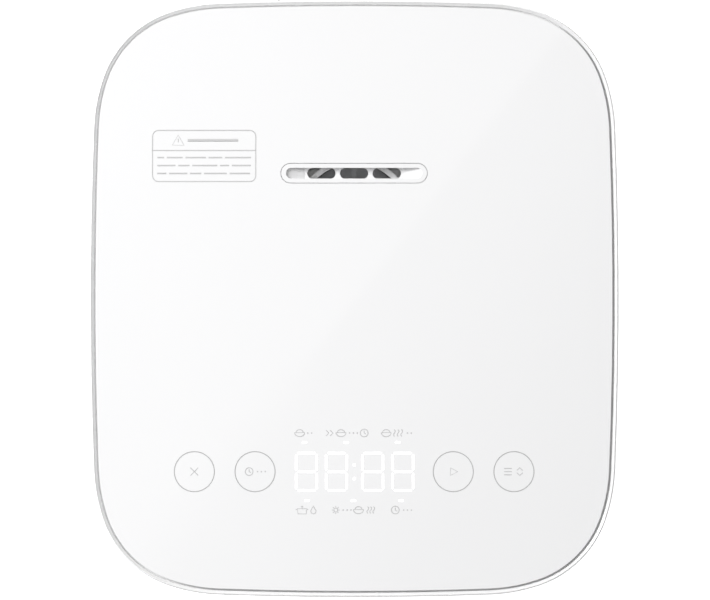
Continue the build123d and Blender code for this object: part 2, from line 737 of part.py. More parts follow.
BLOCK_FRONT = 119.6
BLOCK_BOTTOM = 141.0
BLOCK_REAR = HINGE_Y + BARREL_RADIUS
BLOCK_SLOPE = 7.0
BLOCK_CHAMFER = 1.0
EAR_ROOT = 5.0
POCKET_HALF = 38.0
POCKET_Y = (122, 129)
POCKET_HEIGHT = 14.0

with BuildPart() as hinge_block:
    prism_yz(
        (
            (BLOCK_FRONT, BLOCK_BOTTOM),
            (HALF_DEPTH + SHELL_GROW - 0.6, BLOCK_BOTTOM),
            (BLOCK_REAR, BLOCK_BOTTOM + BLOCK_SLOPE),
            (BLOCK_REAR, RING_TOP - BLOCK_CHAMFER),
            (BLOCK_REAR - BLOCK_CHAMFER, RING_TOP),
            (BLOCK_FRONT, RING_TOP),
        ),
        -EAR_OUTER,
        EAR_OUTER,
    )
    for side in (-1, 1):
        inner, outer = sorted((side * EAR_INNER, side * EAR_OUTER))
        block(
            (inner, outer),
            (HINGE_Y - BARREL_RADIUS, HINGE_Y + BARREL_RADIUS),
            (RING_TOP - EAR_ROOT, HINGE_Z),
        )
        rod(BARREL_RADIUS, (inner, HINGE_Y, HINGE_Z), (outer, HINGE_Y, HINGE_Z))
        rod(
            PIN_RADIUS,
            (side * (EAR_OUTER - PIN_INSET), HINGE_Y, HINGE_Z),
            (side * EAR_INNER, HINGE_Y, HINGE_Z),
            mode=Mode.SUBTRACT,
        )
    # lightening pocket from below
    block(
        (-POCKET_HALF, POCKET_HALF),
        POCKET_Y,
        (BLOCK_BOTTOM, BLOCK_BOTTOM + POCKET_HEIGHT),
        mode=Mode.SUBTRACT,
    )
save(hinge_block.part, "hinge_block")

HOOK_FRONT = -123.4
HOOK_REAR = -120.4
HOOK_LIP = 2.4
HOOK_BOTTOM = 147.5
HOOK_TOP = LINER_TOP + 8
HOOK_HALF = 8.0
HOOK_FLANGE_HALF = 16.0

with BuildPart() as lid_catch:
    # hook that hangs from the liner's front shelf, with its lip towards the pot
    prism_yz(
        (
            (HOOK_FRONT, HOOK_BOTTOM),
            (HOOK_REAR + HOOK_LIP, HOOK_BOTTOM),
            (HOOK_REAR + HOOK_LIP, HOOK_BOTTOM + 1.5),
            (HOOK_REAR, HOOK_BOTTOM + 2.5),
            (HOOK_REAR, HOOK_TOP),
            (HOOK_FRONT, HOOK_TOP),
        ),
        -HOOK_HALF,
        HOOK_HALF,
    )
    block((-HOOK_FLANGE_HALF, HOOK_FLANGE_HALF), (HOOK_FRONT, HOOK_REAR), (LINER_TOP, HOOK_TOP))
save(lid_catch.part, "lid_catch")


# ------------------------------------------------------------------ body shell
SHELL_BOTTOM = BASE_TOP
SHELL_FLOOR = SHELL_BOTTOM + WALL
SHELL_OPENING = -24.0
EDGE_RADIUS = SHELL_GROW - FLOOR_GROW
LIP_DEPTH = 4.0
LIP_GAP = 0.2
HOUSING_FLANGE = 106.0
BOSS = 4.0
BASE_BOSS_HEIGHT = 9.0
RING_BOSS_DEPTH = 30.0
RING_PILOT_DEPTH = 20.0
base_screw_places = four_corners(45, -19.4)
ring_screw_places = four_corners(45, -3.6)
BUTTON_WINDOW = ((-13.4, 13.4), (-135, -125), (BUTTON_Z - 7.4, BUTTON_Z + 7.4))
INLET_Z = 46.0
INLET_WINDOW = ((-14, 14), (125, 135), (INLET_Z - 10.5, INLET_Z + 10.5))
INLET_SCREW_X = (-20, 20)
CUT_GAP = 0.1
HINGE_CUT = (
    (-EAR_OUTER - CUT_GAP, EAR_OUTER + CUT_GAP),
    (BLOCK_FRONT - CUT_GAP, BLOCK_REAR + CUT_GAP),
    (BLOCK_BOTTOM - CUT_GAP, RING_TOP + CUT_GAP),
)

with BuildPart() as outer_shell:
    outline_slab(SHELL_GROW, SHELL_BOTTOM, SHELL_TOP)
    fillet(outer_shell.faces().sort_by(Axis.Z)[0].edges(), radius=EDGE_RADIUS - 0.2)
    with BuildPart(mode=Mode.PRIVATE) as cavity:
        outline_slab(SHELL_GROW - WALL, SHELL_FLOOR, SHELL_TOP)
        fillet(cavity.faces().sort_by(Axis.Z)[0].edges(), radius=EDGE_RADIUS - WALL)
    add(cavity.part, mode=Mode.SUBTRACT)
    outline_slab(SHELL_OPENING, SHELL_BOTTOM, SHELL_FLOOR, mode=Mode.SUBTRACT)
    for x, y in base_screw_places:
        disc(BOSS, SHELL_FLOOR, SHELL_FLOOR + BASE_BOSS_HEIGHT, x, y)
        disc(SCREW_PILOT, SHELL_BOTTOM, SHELL_FLOOR + BASE_BOSS_HEIGHT - 2, x, y, mode=Mode.SUBTRACT)
    ring_boss_top = SHELL_TOP - LIP_DEPTH - LIP_GAP
    for x, y in ring_screw_places:
        disc(BOSS, SHELL_TOP - RING_BOSS_DEPTH, ring_boss_top, x, y)
        disc(SCREW_PILOT, SHELL_TOP - RING_PILOT_DEPTH, ring_boss_top, x, y, mode=Mode.SUBTRACT)
    # openings for the release button, the power inlet and the hinge block
    block(*BUTTON_WINDOW, mode=Mode.SUBTRACT)
    block(*INLET_WINDOW, mode=Mode.SUBTRACT)
    wall_front, wall_rear = INLET_WINDOW[1]
    for x in INLET_SCREW_X:
        rod(SCREW_CLEAR, (x, wall_front, INLET_Z), (x, wall_rear, INLET_Z), mode=Mode.SUBTRACT)
    block(*HINGE_CUT, mode=Mode.SUBTRACT)
save(outer_shell.part, "outer_shell")

RING_EDGE = 1.2
LATCH_SLOT = ((-9.5, 9.5), (-126.0, -116.4))
LIP_CUT = ((-16, 16), (-129.6, -126.0))

with BuildPart() as top_ring:
    outline_slab(SHELL_GROW, SHELL_TOP, RING_TOP)
    fillet(top_ring.faces().sort_by(Axis.Z)[-1].edges(), radius=RING_EDGE)
    # locating lip inside the shell
    lip_bottom = SHELL_TOP - LIP_DEPTH
    outline_slab(SHELL_GROW - WALL - LIP_GAP, lip_bottom, RING_TOP - 1)
    outline_slab(SHELL_GROW - 2 * WALL, lip_bottom, RING_UNDER, mode=Mode.SUBTRACT)
    # ledge for the pot's flange, with the funnel wall below it
    disc(HOUSING_FLANGE, LEDGE_UNDER, RING_UNDER)
    disc(RING_BORE + WALL, lip_bottom, LEDGE_UNDER)
    disc(RING_BORE, lip_bottom, RING_TOP, mode=Mode.SUBTRACT)
    disc(RING_RECESS, LEDGE_Z, RING_TOP, mode=Mode.SUBTRACT)
    for x, y in ring_screw_places:
        disc(BOSS, lip_bottom, RING_UNDER, x, y)
        disc(SCREW_CLEAR, lip_bottom, RING_TOP, x, y, mode=Mode.SUBTRACT)
        disc(HEAD_SINK, RING_TOP - SINK_DEPTH, RING_TOP, x, y, mode=Mode.SUBTRACT)
    # slot for the lid's hook, room for the button, and the seat of the hinge block
    block(*LATCH_SLOT, (lip_bottom, RING_TOP), mode=Mode.SUBTRACT)
    block(*LIP_CUT, (lip_bottom, SHELL_TOP), mode=Mode.SUBTRACT)
    block(*HINGE_CUT, mode=Mode.SUBTRACT)
save(top_ring.part, "top_ring")

with BuildPart() as ring_screws:
    with Locations(*[(x, y, RING_TOP - SINK_DEPTH) for x, y in ring_screw_places]):
        screw(SCREW_HEAD, HEAD_HEIGHT, SCREW_SHANK, 20, up=False)
save(ring_screws.part, "ring_screws")

BASE_PLATE = 2.6
BASE_FLOOR = FOOT_TOP + BASE_PLATE
BASE_EDGE = 2.5
BASE_BOSS = 4.6
BASE_SINK_DEPTH = 3.0
BASE_SINK = 3.6
FOOT_RADIUS = 9.0
FOOT_GAP = 0.1
FOOT_EDGE = 1.2
FOOT_RECESS = 1.2
FOOT_RIM = 2.0
STANDOFF = 3.2
STANDOFF_PILOT = 1.45
COOLING_SLOT = (32, 3.2)
foot_places = four_corners(45, -33)
power_board_holes = [(x, y) for x in (-82, -34) for y in (-52, 52)]

with BuildPart() as base:
    outline_slab(BASE_GROW, FOOT_TOP, BASE_TOP)
    fillet(base.faces().sort_by(Axis.Z)[0].edges(), radius=BASE_EDGE)
    outline_slab(BASE_GROW - WALL, BASE_FLOOR, BASE_TOP, mode=Mode.SUBTRACT)
    for x, y in foot_places:
        disc(FOOT_RADIUS + FOOT_RIM, BASE_FLOOR, BASE_FLOOR + FOOT_RECESS, x, y)
        disc(FOOT_RADIUS, FOOT_TOP, FOOT_TOP + FOOT_RECESS, x, y, mode=Mode.SUBTRACT)
    for x, y in base_screw_places:
        disc(BASE_BOSS, BASE_FLOOR, BASE_TOP, x, y)
        disc(SCREW_CLEAR, FOOT_TOP, BASE_TOP, x, y, mode=Mode.SUBTRACT)
        disc(BASE_SINK, FOOT_TOP, FOOT_TOP + BASE_SINK_DEPTH, x, y, mode=Mode.SUBTRACT)
    for x, y in power_board_holes:
        disc(STANDOFF, BASE_FLOOR, POWER_BOARD_BOTTOM, x, y)
        disc(STANDOFF_PILOT, FOOT_TOP + 0.8, POWER_BOARD_BOTTOM, x, y, mode=Mode.SUBTRACT)
    # cooling slots
    with BuildSketch(Plane.XY.offset(FOOT_TOP)):
        with GridLocations(9, 44, 9, 3):
            SlotOverall(*COOLING_SLOT, rotation=90)
    extrude(amount=BASE_PLATE, mode=Mode.SUBTRACT)
save(base.part, "base")

with BuildPart() as feet:
    with BuildSketch(Plane.XY):
        with Locations(*foot_places):
            Circle(FOOT_RADIUS - FOOT_GAP)
    extrude(amount=FOOT_TOP + FOOT_RECESS)
    fillet(feet.faces().group_by(Axis.Z)[0].edges(), radius=FOOT_EDGE)
save(feet.part, "feet")

with BuildPart() as base_screws:
    with Locations(*[(x, y, FOOT_TOP + BASE_SINK_DEPTH) for x, y in base_screw_places]):
        screw(SCREW_HEAD, 1.8, SCREW_SHANK, 15)
save(base_screws.part, "base_screws")


# ------------------------------------------------------------------ pot and heating
def vessel(radius, corner, bottom, wall, rim_radius, rim_bottom, rim_top):
    """A turned vessel with a rounded bottom corner and a flat rim, in the open part."""
    with BuildSketch(Plane.XZ) as profile:
        with BuildLine():
            Line((0, bottom), (radius - corner, bottom))
            CenterArc((radius - corner, bottom + corner), corner, -90, 90)
            Polyline(
                (radius, bottom + corner),
                (radius, rim_bottom),
                (rim_radius, rim_bottom),
                (rim_radius, rim_top),
                (radius - wall, rim_top),
                (radius - wall, bottom + corner),
            )
            CenterArc((radius - corner, bottom + corner), corner - wall, 0, -90)
            Polyline((radius - corner, bottom + wall), (0, bottom + wall), (0, bottom))
        make_face()
    revolve(profile.sketch, Axis.Z)


POT_GAP = 0.1
FLANGE_EDGE = 0.6

with BuildPart() as inner_pot:
    rim_bottom = LEDGE_Z + POT_GAP
    vessel(POT_RADIUS, POT_CORNER, POT_BOTTOM, POT_WALL, FLANGE_RADIUS, rim_bottom, rim_bottom + POT_WALL)
    fillet(inner_pot.edges().filter_by(GeomType.CIRCLE).sort_by(Axis.Z)[-2:], radius=FLANGE_EDGE)
save(inner_pot.part, "inner_pot")

HOUSING_WALL = 1.0
HOUSING_CORNER = 26.0
HOUSING_FLOOR = HOUSING_BOTTOM + HOUSING_WALL
HOUSING_OUTER = HOUSING_RADIUS + HOUSING_WALL
SENSOR_HOLE = 17.4
PIN_HOLE = 5.0
ELEMENT_RADIUS = 52.0
ELEMENT_GAP = 20.0
element_end = direction(180 - ELEMENT_GAP) * ELEMENT_RADIUS
element_pins = [(element_end.X, side * element_end.Y) for side in (-1, 1)]

with BuildPart() as inner_shell:
    vessel(
        HOUSING_OUTER,
        HOUSING_CORNER,
        HOUSING_BOTTOM,
        HOUSING_WALL,
        HOUSING_FLANGE,
        LEDGE_UNDER - HOUSING_WALL,
        LEDGE_UNDER,
    )
    disc(SENSOR_HOLE, HOUSING_BOTTOM, HOUSING_FLOOR, mode=Mode.SUBTRACT)
    for x, y in element_pins:
        disc(PIN_HOLE, HOUSING_BOTTOM, HOUSING_FLOOR, x, y, mode=Mode.SUBTRACT)
save(inner_shell.part, "inner_shell")

BAND_BOTTOM = 98.0
BAND_TOP = 120.0
BAND_THICK = 1.2
BAND_GAP = 8.0

with BuildPart() as warmer_band:
    disc(HOUSING_OUTER + BAND_THICK, BAND_BOTTOM, BAND_TOP)
    disc(HOUSING_OUTER, BAND_BOTTOM, BAND_TOP, mode=Mode.SUBTRACT)
    # gap between the band's ends, at the rear
    block(
        (-BAND_GAP / 2, BAND_GAP / 2),
        (POT_RADIUS, HOUSING_OUTER + 2 * BAND_THICK),
        (BAND_BOTTOM, BAND_TOP),
        mode=Mode.SUBTRACT,
    )
save(warmer_band.part, "warmer_band")

ELEMENT_TUBE = 4.0
ELEMENT_Z = PLATE_BOTTOM + 2.0
ELEMENT_PIN = 3.0
PIN_BOTTOM = 20.5

with BuildPart() as heating_element:
    with BuildSketch(Plane.XZ):
        with Locations((-ELEMENT_RADIUS, ELEMENT_Z)):
            Circle(ELEMENT_TUBE)
    revolve(axis=Axis.Z, revolution_arc=360 - 2 * ELEMENT_GAP)
heating_ring = heating_element.part.rotate(Axis.Z, ELEMENT_GAP)

with BuildPart() as element_with_pins:
    add(heating_ring)
    for x, y in element_pins:
        disc(ELEMENT_PIN, PIN_BOTTOM, ELEMENT_Z, x, y)
save(element_with_pins.part, "heating_element")

PLATE_EDGE = 1.0
PLATE_BORE = CAP_RADIUS + 1.2

with BuildPart() as heating_plate:
    disc(PLATE_RADIUS, PLATE_BOTTOM, PLATE_TOP)
    chamfer(heating_plate.faces().sort_by(Axis.Z)[-1].edges(), length=PLATE_EDGE)
    disc(PLATE_BORE, PLATE_BOTTOM, PLATE_TOP, mode=Mode.SUBTRACT)
    add(element_with_pins.part, mode=Mode.SUBTRACT)
save(heating_plate.part, "heating_plate")

SPACER_RING = 66.0
SPACER_RADIUS = 4.0

with BuildPart() as plate_spacers:
    with BuildSketch(Plane.XY.offset(HOUSING_FLOOR)):
        with PolarLocations(SPACER_RING, 3, start_angle=90):
            Circle(SPACER_RADIUS)
    extrude(amount=PLATE_BOTTOM - HOUSING_FLOOR)
save(plate_spacers.part, "plate_spacers")


# ------------------------------------------------------------------ centre thermostat
CAP_TOP = PLATE_TOP + 0.05
CAP_SKIRT_BOTTOM = 27.0
CAP_INNER = 13.6
CAP_THICK = 1.0
STEM_RADIUS = 4.0
STEM_BOTTOM = 30.0

with BuildPart() as sensor_cap:
    turned(
        (
            (0, CAP_TOP - CAP_THICK),
            (CAP_INNER, CAP_TOP - CAP_THICK),
            (CAP_INNER, CAP_SKIRT_BOTTOM),
            (CAP_RADIUS, CAP_SKIRT_BOTTOM),
            (CAP_RADIUS, CAP_TOP),
            (0, CAP_TOP),
        )
    )
    disc(STEM_RADIUS, STEM_BOTTOM, CAP_TOP - CAP_THICK)
save(sensor_cap.part, "sensor_cap")

CUP_BOTTOM = 13.0
CUP_WALL = 1.6
CUP_BORE = 15.6
CUP_LIP = 24.0
CUP_LIP_THICK = 1.5

with BuildPart() as sensor_housing:
    # cup fixed under the housing, open towards the cap
    turned(
        (
            (0, CUP_BOTTOM),
            (CUP_BORE + CUP_WALL, CUP_BOTTOM),
            (CUP_BORE + CUP_WALL, HOUSING_BOTTOM - CUP_LIP_THICK),
            (CUP_LIP, HOUSING_BOTTOM - CUP_LIP_THICK),
            (CUP_LIP, HOUSING_BOTTOM),
            (CUP_BORE, HOUSING_BOTTOM),
            (CUP_BORE, CUP_BOTTOM + CUP_WALL),
            (0, CUP_BOTTOM + CUP_WALL),
        )
    )
save(sensor_housing.part, "sensor_housing")

sensor_spring_coil = coil(radius=9.0, wire=1.2, turns=5, length=23.4)
sensor_spring = sensor_spring_coil.moved(Location((0, 0, CUP_BOTTOM + CUP_WALL + 0.2)))
save(sensor_spring, "sensor_spring")

FUSE_X = 30.0
FUSE_Z = 20.6
FUSE_RADIUS = 2.4
FUSE_HALF = 9.0
LEAD_RADIUS = 0.6
LEAD_REACH = 20.0
CLIP_BOTTOM = 17.0
CLIP_HALF = 4.0
CLIP_THICK = 1.0

with BuildPart() as thermal_fuse:
    rod(FUSE_RADIUS, (FUSE_X, -FUSE_HALF, FUSE_Z), (FUSE_X, FUSE_HALF, FUSE_Z))
    for side in (-1, 1):
        rod(LEAD_RADIUS, (FUSE_X, side * FUSE_HALF, FUSE_Z), (FUSE_X, side * LEAD_REACH, FUSE_Z))
save(thermal_fuse.part, "thermal_fuse")

with BuildPart() as fuse_clip:
    # strap under the fuse and a leg on each side up to the housing
    left = FUSE_X - FUSE_RADIUS
    right = FUSE_X + FUSE_RADIUS
    clip_y = (-CLIP_HALF, CLIP_HALF)
    block((left, right), clip_y, (CLIP_BOTTOM, CLIP_BOTTOM + CLIP_THICK))
    block((right, right + CLIP_THICK), clip_y, (CLIP_BOTTOM, HOUSING_BOTTOM))
    block((left - CLIP_THICK, left), clip_y, (CLIP_BOTTOM, HOUSING_BOTTOM))
save(fuse_clip.part, "fuse_clip")


# ------------------------------------------------------------------ power board
POWER_BOARD_TOP = POWER_BOARD_BOTTOM + BOARD_THICK
POWER_BOARD_X = -58.0
POWER_BOARD_SIZE = (58, 114)
POWER_BOARD_CORNER = 3.0
RELAY = ((-84, -65), (-30, -14), (POWER_BOARD_TOP, 22.5))
WINDING = ((-78, -60), (8, 30), (POWER_BOARD_TOP, 22.0))
CORE = ((-83, -55), (12, 26), (13.0, 20.0))
CAPACITOR_TOP = 22.0
TERMINAL = ((-84, -70), (34, 48), (POWER_BOARD_TOP, 21.0))
TERMINAL_X = (-80, -74)
TERMINAL_Y = 41.0
TERMINAL_SCREW = 2.2

with BuildPart() as power_board:
    with BuildSketch(Plane.XY.offset(POWER_BOARD_BOTTOM)):
        with Locations((POWER_BOARD_X, 0)):
            RectangleRounded(*POWER_BOARD_SIZE, POWER_BOARD_CORNER)
        with Locations(*power_board_holes):
            Circle(1.6, mode=Mode.SUBTRACT)
    extrude(amount=BOARD_THICK)
save(power_board.part, "power_board")

with BuildPart() as power_board_screws:
    with Locations(*[(x, y, POWER_BOARD_TOP) for x, y in power_board_holes]):
        screw(2.8, 1.6, 1.4, POWER_BOARD_TOP - BASE_FLOOR - 0.1, up=False)
save(power_board_screws.part, "power_board_screws")

with BuildPart() as relay:
    block(*RELAY)
    chamfer(relay.faces().sort_by(Axis.Z)[-1].edges(), length=0.6)
save(relay.part, "relay")

with BuildPart() as transformer:
    block(*WINDING)
    block(*CORE)
save(transformer.part, "transformer")

with BuildPart() as capacitors:
    for x, y, radius in ((-40, 2, 5), (-40, 16, 5), (-40, 30, 4)):
        rod(radius, (x, y, POWER_BOARD_TOP), (x, y, CAPACITOR_TOP))
save(capacitors.part, "capacitors")

with BuildPart() as terminal_block:
    block(*TERMINAL)
    for x in TERMINAL_X:
        top = TERMINAL[2][1]
        rod(TERMINAL_SCREW, (x, TERMINAL_Y, top - 2), (x, TERMINAL_Y, top), mode=Mode.SUBTRACT)
save(terminal_block.part, "terminal_block")


# ------------------------------------------------------------------ power inlet
INLET_FACE = HALF_DEPTH + SHELL_GROW
FLANGE_THICK = 1.8
FLANGE_SIZE = (24.5, 12.5)
FLANGE_CORNER = 3.0
INLET_BODY = (13.8, 10.3)
INLET_DEPTH = 19.0
MOUTH_HALF = 12.0
MOUTH_DEPTH = 16.5
MOUTH_LOW = 8.0
MOUTH_SHOULDER = 3.0
MOUTH_CUT = 5.0
BLADE_PLACES = ((-7, INLET_Z - 1), (7, INLET_Z - 1), (0, INLET_Z + 3))
BLADE_HALF = (1.0, 2.0)
BLADE_TIP = INLET_FACE - 3.6
BLADE_TAIL = INLET_FACE - 26.0

with BuildPart() as inlet_blades:
    for x, z in BLADE_PLACES:
        block(
            (x - BLADE_HALF[0], x + BLADE_HALF[0]),
            (BLADE_TAIL, BLADE_TIP),
            (z - BLADE_HALF[1], z + BLADE_HALF[1]),
        )
save(inlet_blades.part, "inlet_blades")

with BuildPart() as power_inlet:
    block(
        (-FLANGE_SIZE[0], FLANGE_SIZE[0]),
        (INLET_FACE, INLET_FACE + FLANGE_THICK),
        (INLET_Z - FLANGE_SIZE[1], INLET_Z + FLANGE_SIZE[1]),
    )
    fillet(power_inlet.edges().filter_by(Axis.Y), radius=FLANGE_CORNER)
    block(
        (-INLET_BODY[0], INLET_BODY[0]),
        (INLET_FACE - INLET_DEPTH, INLET_FACE),
        (INLET_Z - INLET_BODY[1], INLET_Z + INLET_BODY[1]),
    )
    # shaped mouth with two cut corners
    with BuildSketch(Plane.XZ.offset(-INLET_FACE - FLANGE_THICK)):
        with BuildLine():
            Polyline(
                (-MOUTH_HALF, INLET_Z - MOUTH_LOW),
                (MOUTH_HALF, INLET_Z - MOUTH_LOW),
                (MOUTH_HALF, INLET_Z + MOUTH_SHOULDER),
                (MOUTH_HALF - MOUTH_CUT, INLET_Z + MOUTH_SHOULDER + MOUTH_CUT),
                (-MOUTH_HALF + MOUTH_CUT, INLET_Z + MOUTH_SHOULDER + MOUTH_CUT),
                (-MOUTH_HALF, INLET_Z + MOUTH_SHOULDER),
                close=True,
            )
        make_face()
    extrude(amount=MOUTH_DEPTH, mode=Mode.SUBTRACT)
    for x in INLET_SCREW_X:
        rod(SCREW_CLEAR, (x, INLET_FACE + 3, INLET_Z), (x, INLET_FACE - 2, INLET_Z), mode=Mode.SUBTRACT)
    add(inlet_blades.part, mode=Mode.SUBTRACT)
save(power_inlet.part, "power_inlet")

with BuildPart() as inlet_screws:
    flange_front = INLET_FACE + FLANGE_THICK
    for x in INLET_SCREW_X:
        rod(3.0, (x, flange_front, INLET_Z), (x, flange_front + 1.4, INLET_Z))
        rod(1.6, (x, INLET_FACE - 8, INLET_Z), (x, flange_front, INLET_Z))
save(inlet_screws.part, "inlet_screws")


# ------------------------------------------------------------------ front latch
STEM_TIP = -114.6
FLANGE_BACK = -127.3
FLANGE_FACE = -129.0
BUTTON_FACE = -133.0
BUTTON_HALF = (13.0, 7.0)
STOP_FLANGE_HALF = (15.2, 9.0)
STEM_HALF = (4.0, 1.5)

with BuildPart() as release_button:
    block(
        (-BUTTON_HALF[0], BUTTON_HALF[0]),
        (BUTTON_FACE, FLANGE_FACE),
        (BUTTON_Z - BUTTON_HALF[1], BUTTON_Z + BUTTON_HALF[1]),
    )
    fillet(release_button.edges().filter_by(Axis.Y), radius=2)
    fillet(release_button.faces().sort_by(Axis.Y)[0].edges(), radius=0.8)
    # flange that stops behind the shell's window, and the stem that tips the latch
    block(
        (-STOP_FLANGE_HALF[0], STOP_FLANGE_HALF[0]),
        (FLANGE_FACE, FLANGE_BACK),
        (BUTTON_Z - STOP_FLANGE_HALF[1], BUTTON_Z + STOP_FLANGE_HALF[1]),
    )
    block(
        (-STEM_HALF[0], STEM_HALF[0]),
        (FLANGE_BACK, STEM_TIP),
        (BUTTON_Z - STEM_HALF[1], BUTTON_Z + STEM_HALF[1]),
    )
save(release_button.part, "release_button")

button_spring_coil = coil(radius=5.4, wire=0.8, turns=3, length=6.0)
button_spring = button_spring_coil.moved(Location((0, FLANGE_BACK + 0.1, BUTTON_Z), (-90, 0, 0)))
save(button_spring, "button_spring")

CHEEK_INNER = 11.6
CHEEK_OUTER = 13.6
CHEEK_Y = (-121.0, -109.0)
BRACKET_BOTTOM = 120.0
BRACKET_FLOOR = 2.0
TAB_REACH = 8.0
FRONT_WALL = 1.6
FRONT_WALL_TOP = 145.5
LATCH_PIN = 1.5

with BuildPart() as latch_bracket:
    # two cheeks with tabs under the ring's ledge, a floor, and a front wall with the stem's window
    cheek_bottom = BRACKET_BOTTOM + BRACKET_FLOOR
    for side in (-1, 1):
        inner, outer = sorted((side * CHEEK_INNER, side * CHEEK_OUTER))
        block((inner, outer), CHEEK_Y, (cheek_bottom, LEDGE_Z))
        rod(
            LATCH_PIN,
            (side * CHEEK_INNER, LATCH_PIVOT_Y, LATCH_PIVOT_Z),
            (side * CHEEK_OUTER, LATCH_PIVOT_Y, LATCH_PIVOT_Z),
            mode=Mode.SUBTRACT,
        )
        tab_inner, tab_outer = sorted((side * CHEEK_OUTER, side * (CHEEK_OUTER + TAB_REACH)))
        block((tab_inner, tab_outer), CHEEK_Y, (LEDGE_Z - 2, LEDGE_Z))
    block((-CHEEK_OUTER, CHEEK_OUTER), CHEEK_Y, (BRACKET_BOTTOM, cheek_bottom))
    block(
        (-CHEEK_INNER, CHEEK_INNER),
        (CHEEK_Y[0], CHEEK_Y[0] + FRONT_WALL),
        (cheek_bottom, FRONT_WALL_TOP),
    )
    block(
        (-STEM_HALF[0] - 1, STEM_HALF[0] + 1),
        (CHEEK_Y[0] - 1, CHEEK_Y[0] + 2),
        (BUTTON_Z - STEM_HALF[1] - 1, BUTTON_Z + STEM_HALF[1] + 1),
        mode=Mode.SUBTRACT,
    )
save(latch_bracket.part, "latch_bracket")

with BuildPart() as latch_pin:
    rod(
        LATCH_PIN,
        (-CHEEK_OUTER, LATCH_PIVOT_Y, LATCH_PIVOT_Z),
        (CHEEK_OUTER, LATCH_PIVOT_Y, LATCH_PIVOT_Z),
    )
save(latch_pin.part, "latch_pin")

LATCH_HALF = 10.5
LATCH_Y = (-114.0, -111.0)
LATCH_FORK = 132.2
LATCH_TOP = 153.3
FORK_INNER = 6.4
FORK_EYE = 3.4
LATCH_NOSE = 3.4
LATCH_NOSE_HALF = 7.5

with BuildPart() as latch:
    block((-LATCH_HALF, LATCH_HALF), LATCH_Y, (LATCH_FORK, LATCH_TOP))
    prism_yz(
        (
            (LATCH_Y[0], LATCH_TOP - 2.7),
            (LATCH_Y[0] - LATCH_NOSE, LATCH_TOP - 2.3),
            (LATCH_Y[0] - LATCH_NOSE, LATCH_TOP - 1.3),
            (LATCH_Y[0], LATCH_TOP),
        ),
        -LATCH_NOSE_HALF,
        LATCH_NOSE_HALF,
    )
    for side in (-1, 1):
        inner, outer = sorted((side * FORK_INNER, side * LATCH_HALF))
        block((inner, outer), LATCH_Y, (LATCH_PIVOT_Z, LATCH_FORK))
        rod(FORK_EYE, (inner, LATCH_PIVOT_Y, LATCH_PIVOT_Z), (outer, LATCH_PIVOT_Y, LATCH_PIVOT_Z))
        rod(
            LATCH_PIN + PIN_CLEAR,
            (inner, LATCH_PIVOT_Y, LATCH_PIVOT_Z),
            (outer, LATCH_PIVOT_Y, LATCH_PIVOT_Z),
            mode=Mode.SUBTRACT,
        )
save(latch.part, "latch")

LATCH_SPRING_LENGTH = 11.0

latch_spring_coil = coil(radius=2.6, wire=0.8, turns=9, length=LATCH_SPRING_LENGTH)
latch_spring = latch_spring_coil.moved(
    Location((-LATCH_SPRING_LENGTH / 2, LATCH_PIVOT_Y, LATCH_PIVOT_Z), (0, 90, 0))
)
save(latch_spring, "latch_spring")


# ------------------------------------------------------------------ inner wiring
WIRE_RADIUS = 1.2
WIRE_Z = 17.0
WIRE_BEND = 5.0
WIRE_INSET = 2.0


def wire(points, bend):
    """A round insulated wire along straight runs with rounded corners."""
    with BuildLine() as path:
        FilletPolyline(*points, radius=bend)
    with BuildPart() as lead:
        with BuildSketch(Plane(origin=path.line @ 0, z_dir=path.line % 0)):
            Circle(WIRE_RADIUS)
        sweep(path=path.line)
    return lead.part


with BuildPart() as mains_wires:
    # from the inlet's two lower blades, under the housing, to the terminal block
    tail_y = BLADE_TAIL + WIRE_INSET
    for (x, z), end_x in zip(BLADE_PLACES[:2], (-74, -80)):
        add(
            wire(
                (
                    (x, tail_y, z - BLADE_HALF[1]),
                    (x, tail_y, WIRE_Z),
                    (x - 14, tail_y - 20, WIRE_Z),
                    (end_x, 72, WIRE_Z),
                    (end_x, TERMINAL[1][1], WIRE_Z),
                ),
                WIRE_BEND,
            )
        )
    # earth link from the upper blade to the metal housing
    earth_z = BLADE_PLACES[2][1]
    rod(WIRE_RADIUS, (0, BLADE_TAIL, earth_z), (0, HOUSING_OUTER + 0.1, earth_z))
save(mains_wires.part, "mains_wires")

with BuildPart() as heater_wires:
    for x, y in element_pins:
        disc(WIRE_RADIUS, POWER_BOARD_TOP, PIN_BOTTOM, x, y)
save(heater_wires.part, "heater_wires")
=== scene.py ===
import json
from math import cos, pi, radians, sin

import bmesh
import bpy
from mathutils import Matrix, Vector


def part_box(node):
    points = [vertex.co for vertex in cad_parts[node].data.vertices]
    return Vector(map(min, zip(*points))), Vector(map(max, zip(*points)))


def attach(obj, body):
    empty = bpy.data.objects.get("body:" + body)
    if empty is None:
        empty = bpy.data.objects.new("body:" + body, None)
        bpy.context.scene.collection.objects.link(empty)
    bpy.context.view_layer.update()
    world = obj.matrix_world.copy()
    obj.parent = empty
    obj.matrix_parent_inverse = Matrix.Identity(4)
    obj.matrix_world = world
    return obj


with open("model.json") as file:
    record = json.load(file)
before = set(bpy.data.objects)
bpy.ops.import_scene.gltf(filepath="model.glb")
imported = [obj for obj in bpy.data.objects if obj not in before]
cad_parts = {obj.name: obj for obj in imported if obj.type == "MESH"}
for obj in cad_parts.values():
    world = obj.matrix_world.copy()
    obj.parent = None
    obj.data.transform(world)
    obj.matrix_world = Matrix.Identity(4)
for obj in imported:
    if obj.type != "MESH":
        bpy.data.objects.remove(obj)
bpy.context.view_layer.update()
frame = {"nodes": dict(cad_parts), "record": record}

MM = 0.001
nodes = frame["nodes"]
record = frame["record"]
slot_of = {part["node"]: part["material_slot"] for part in record["subparts"]}

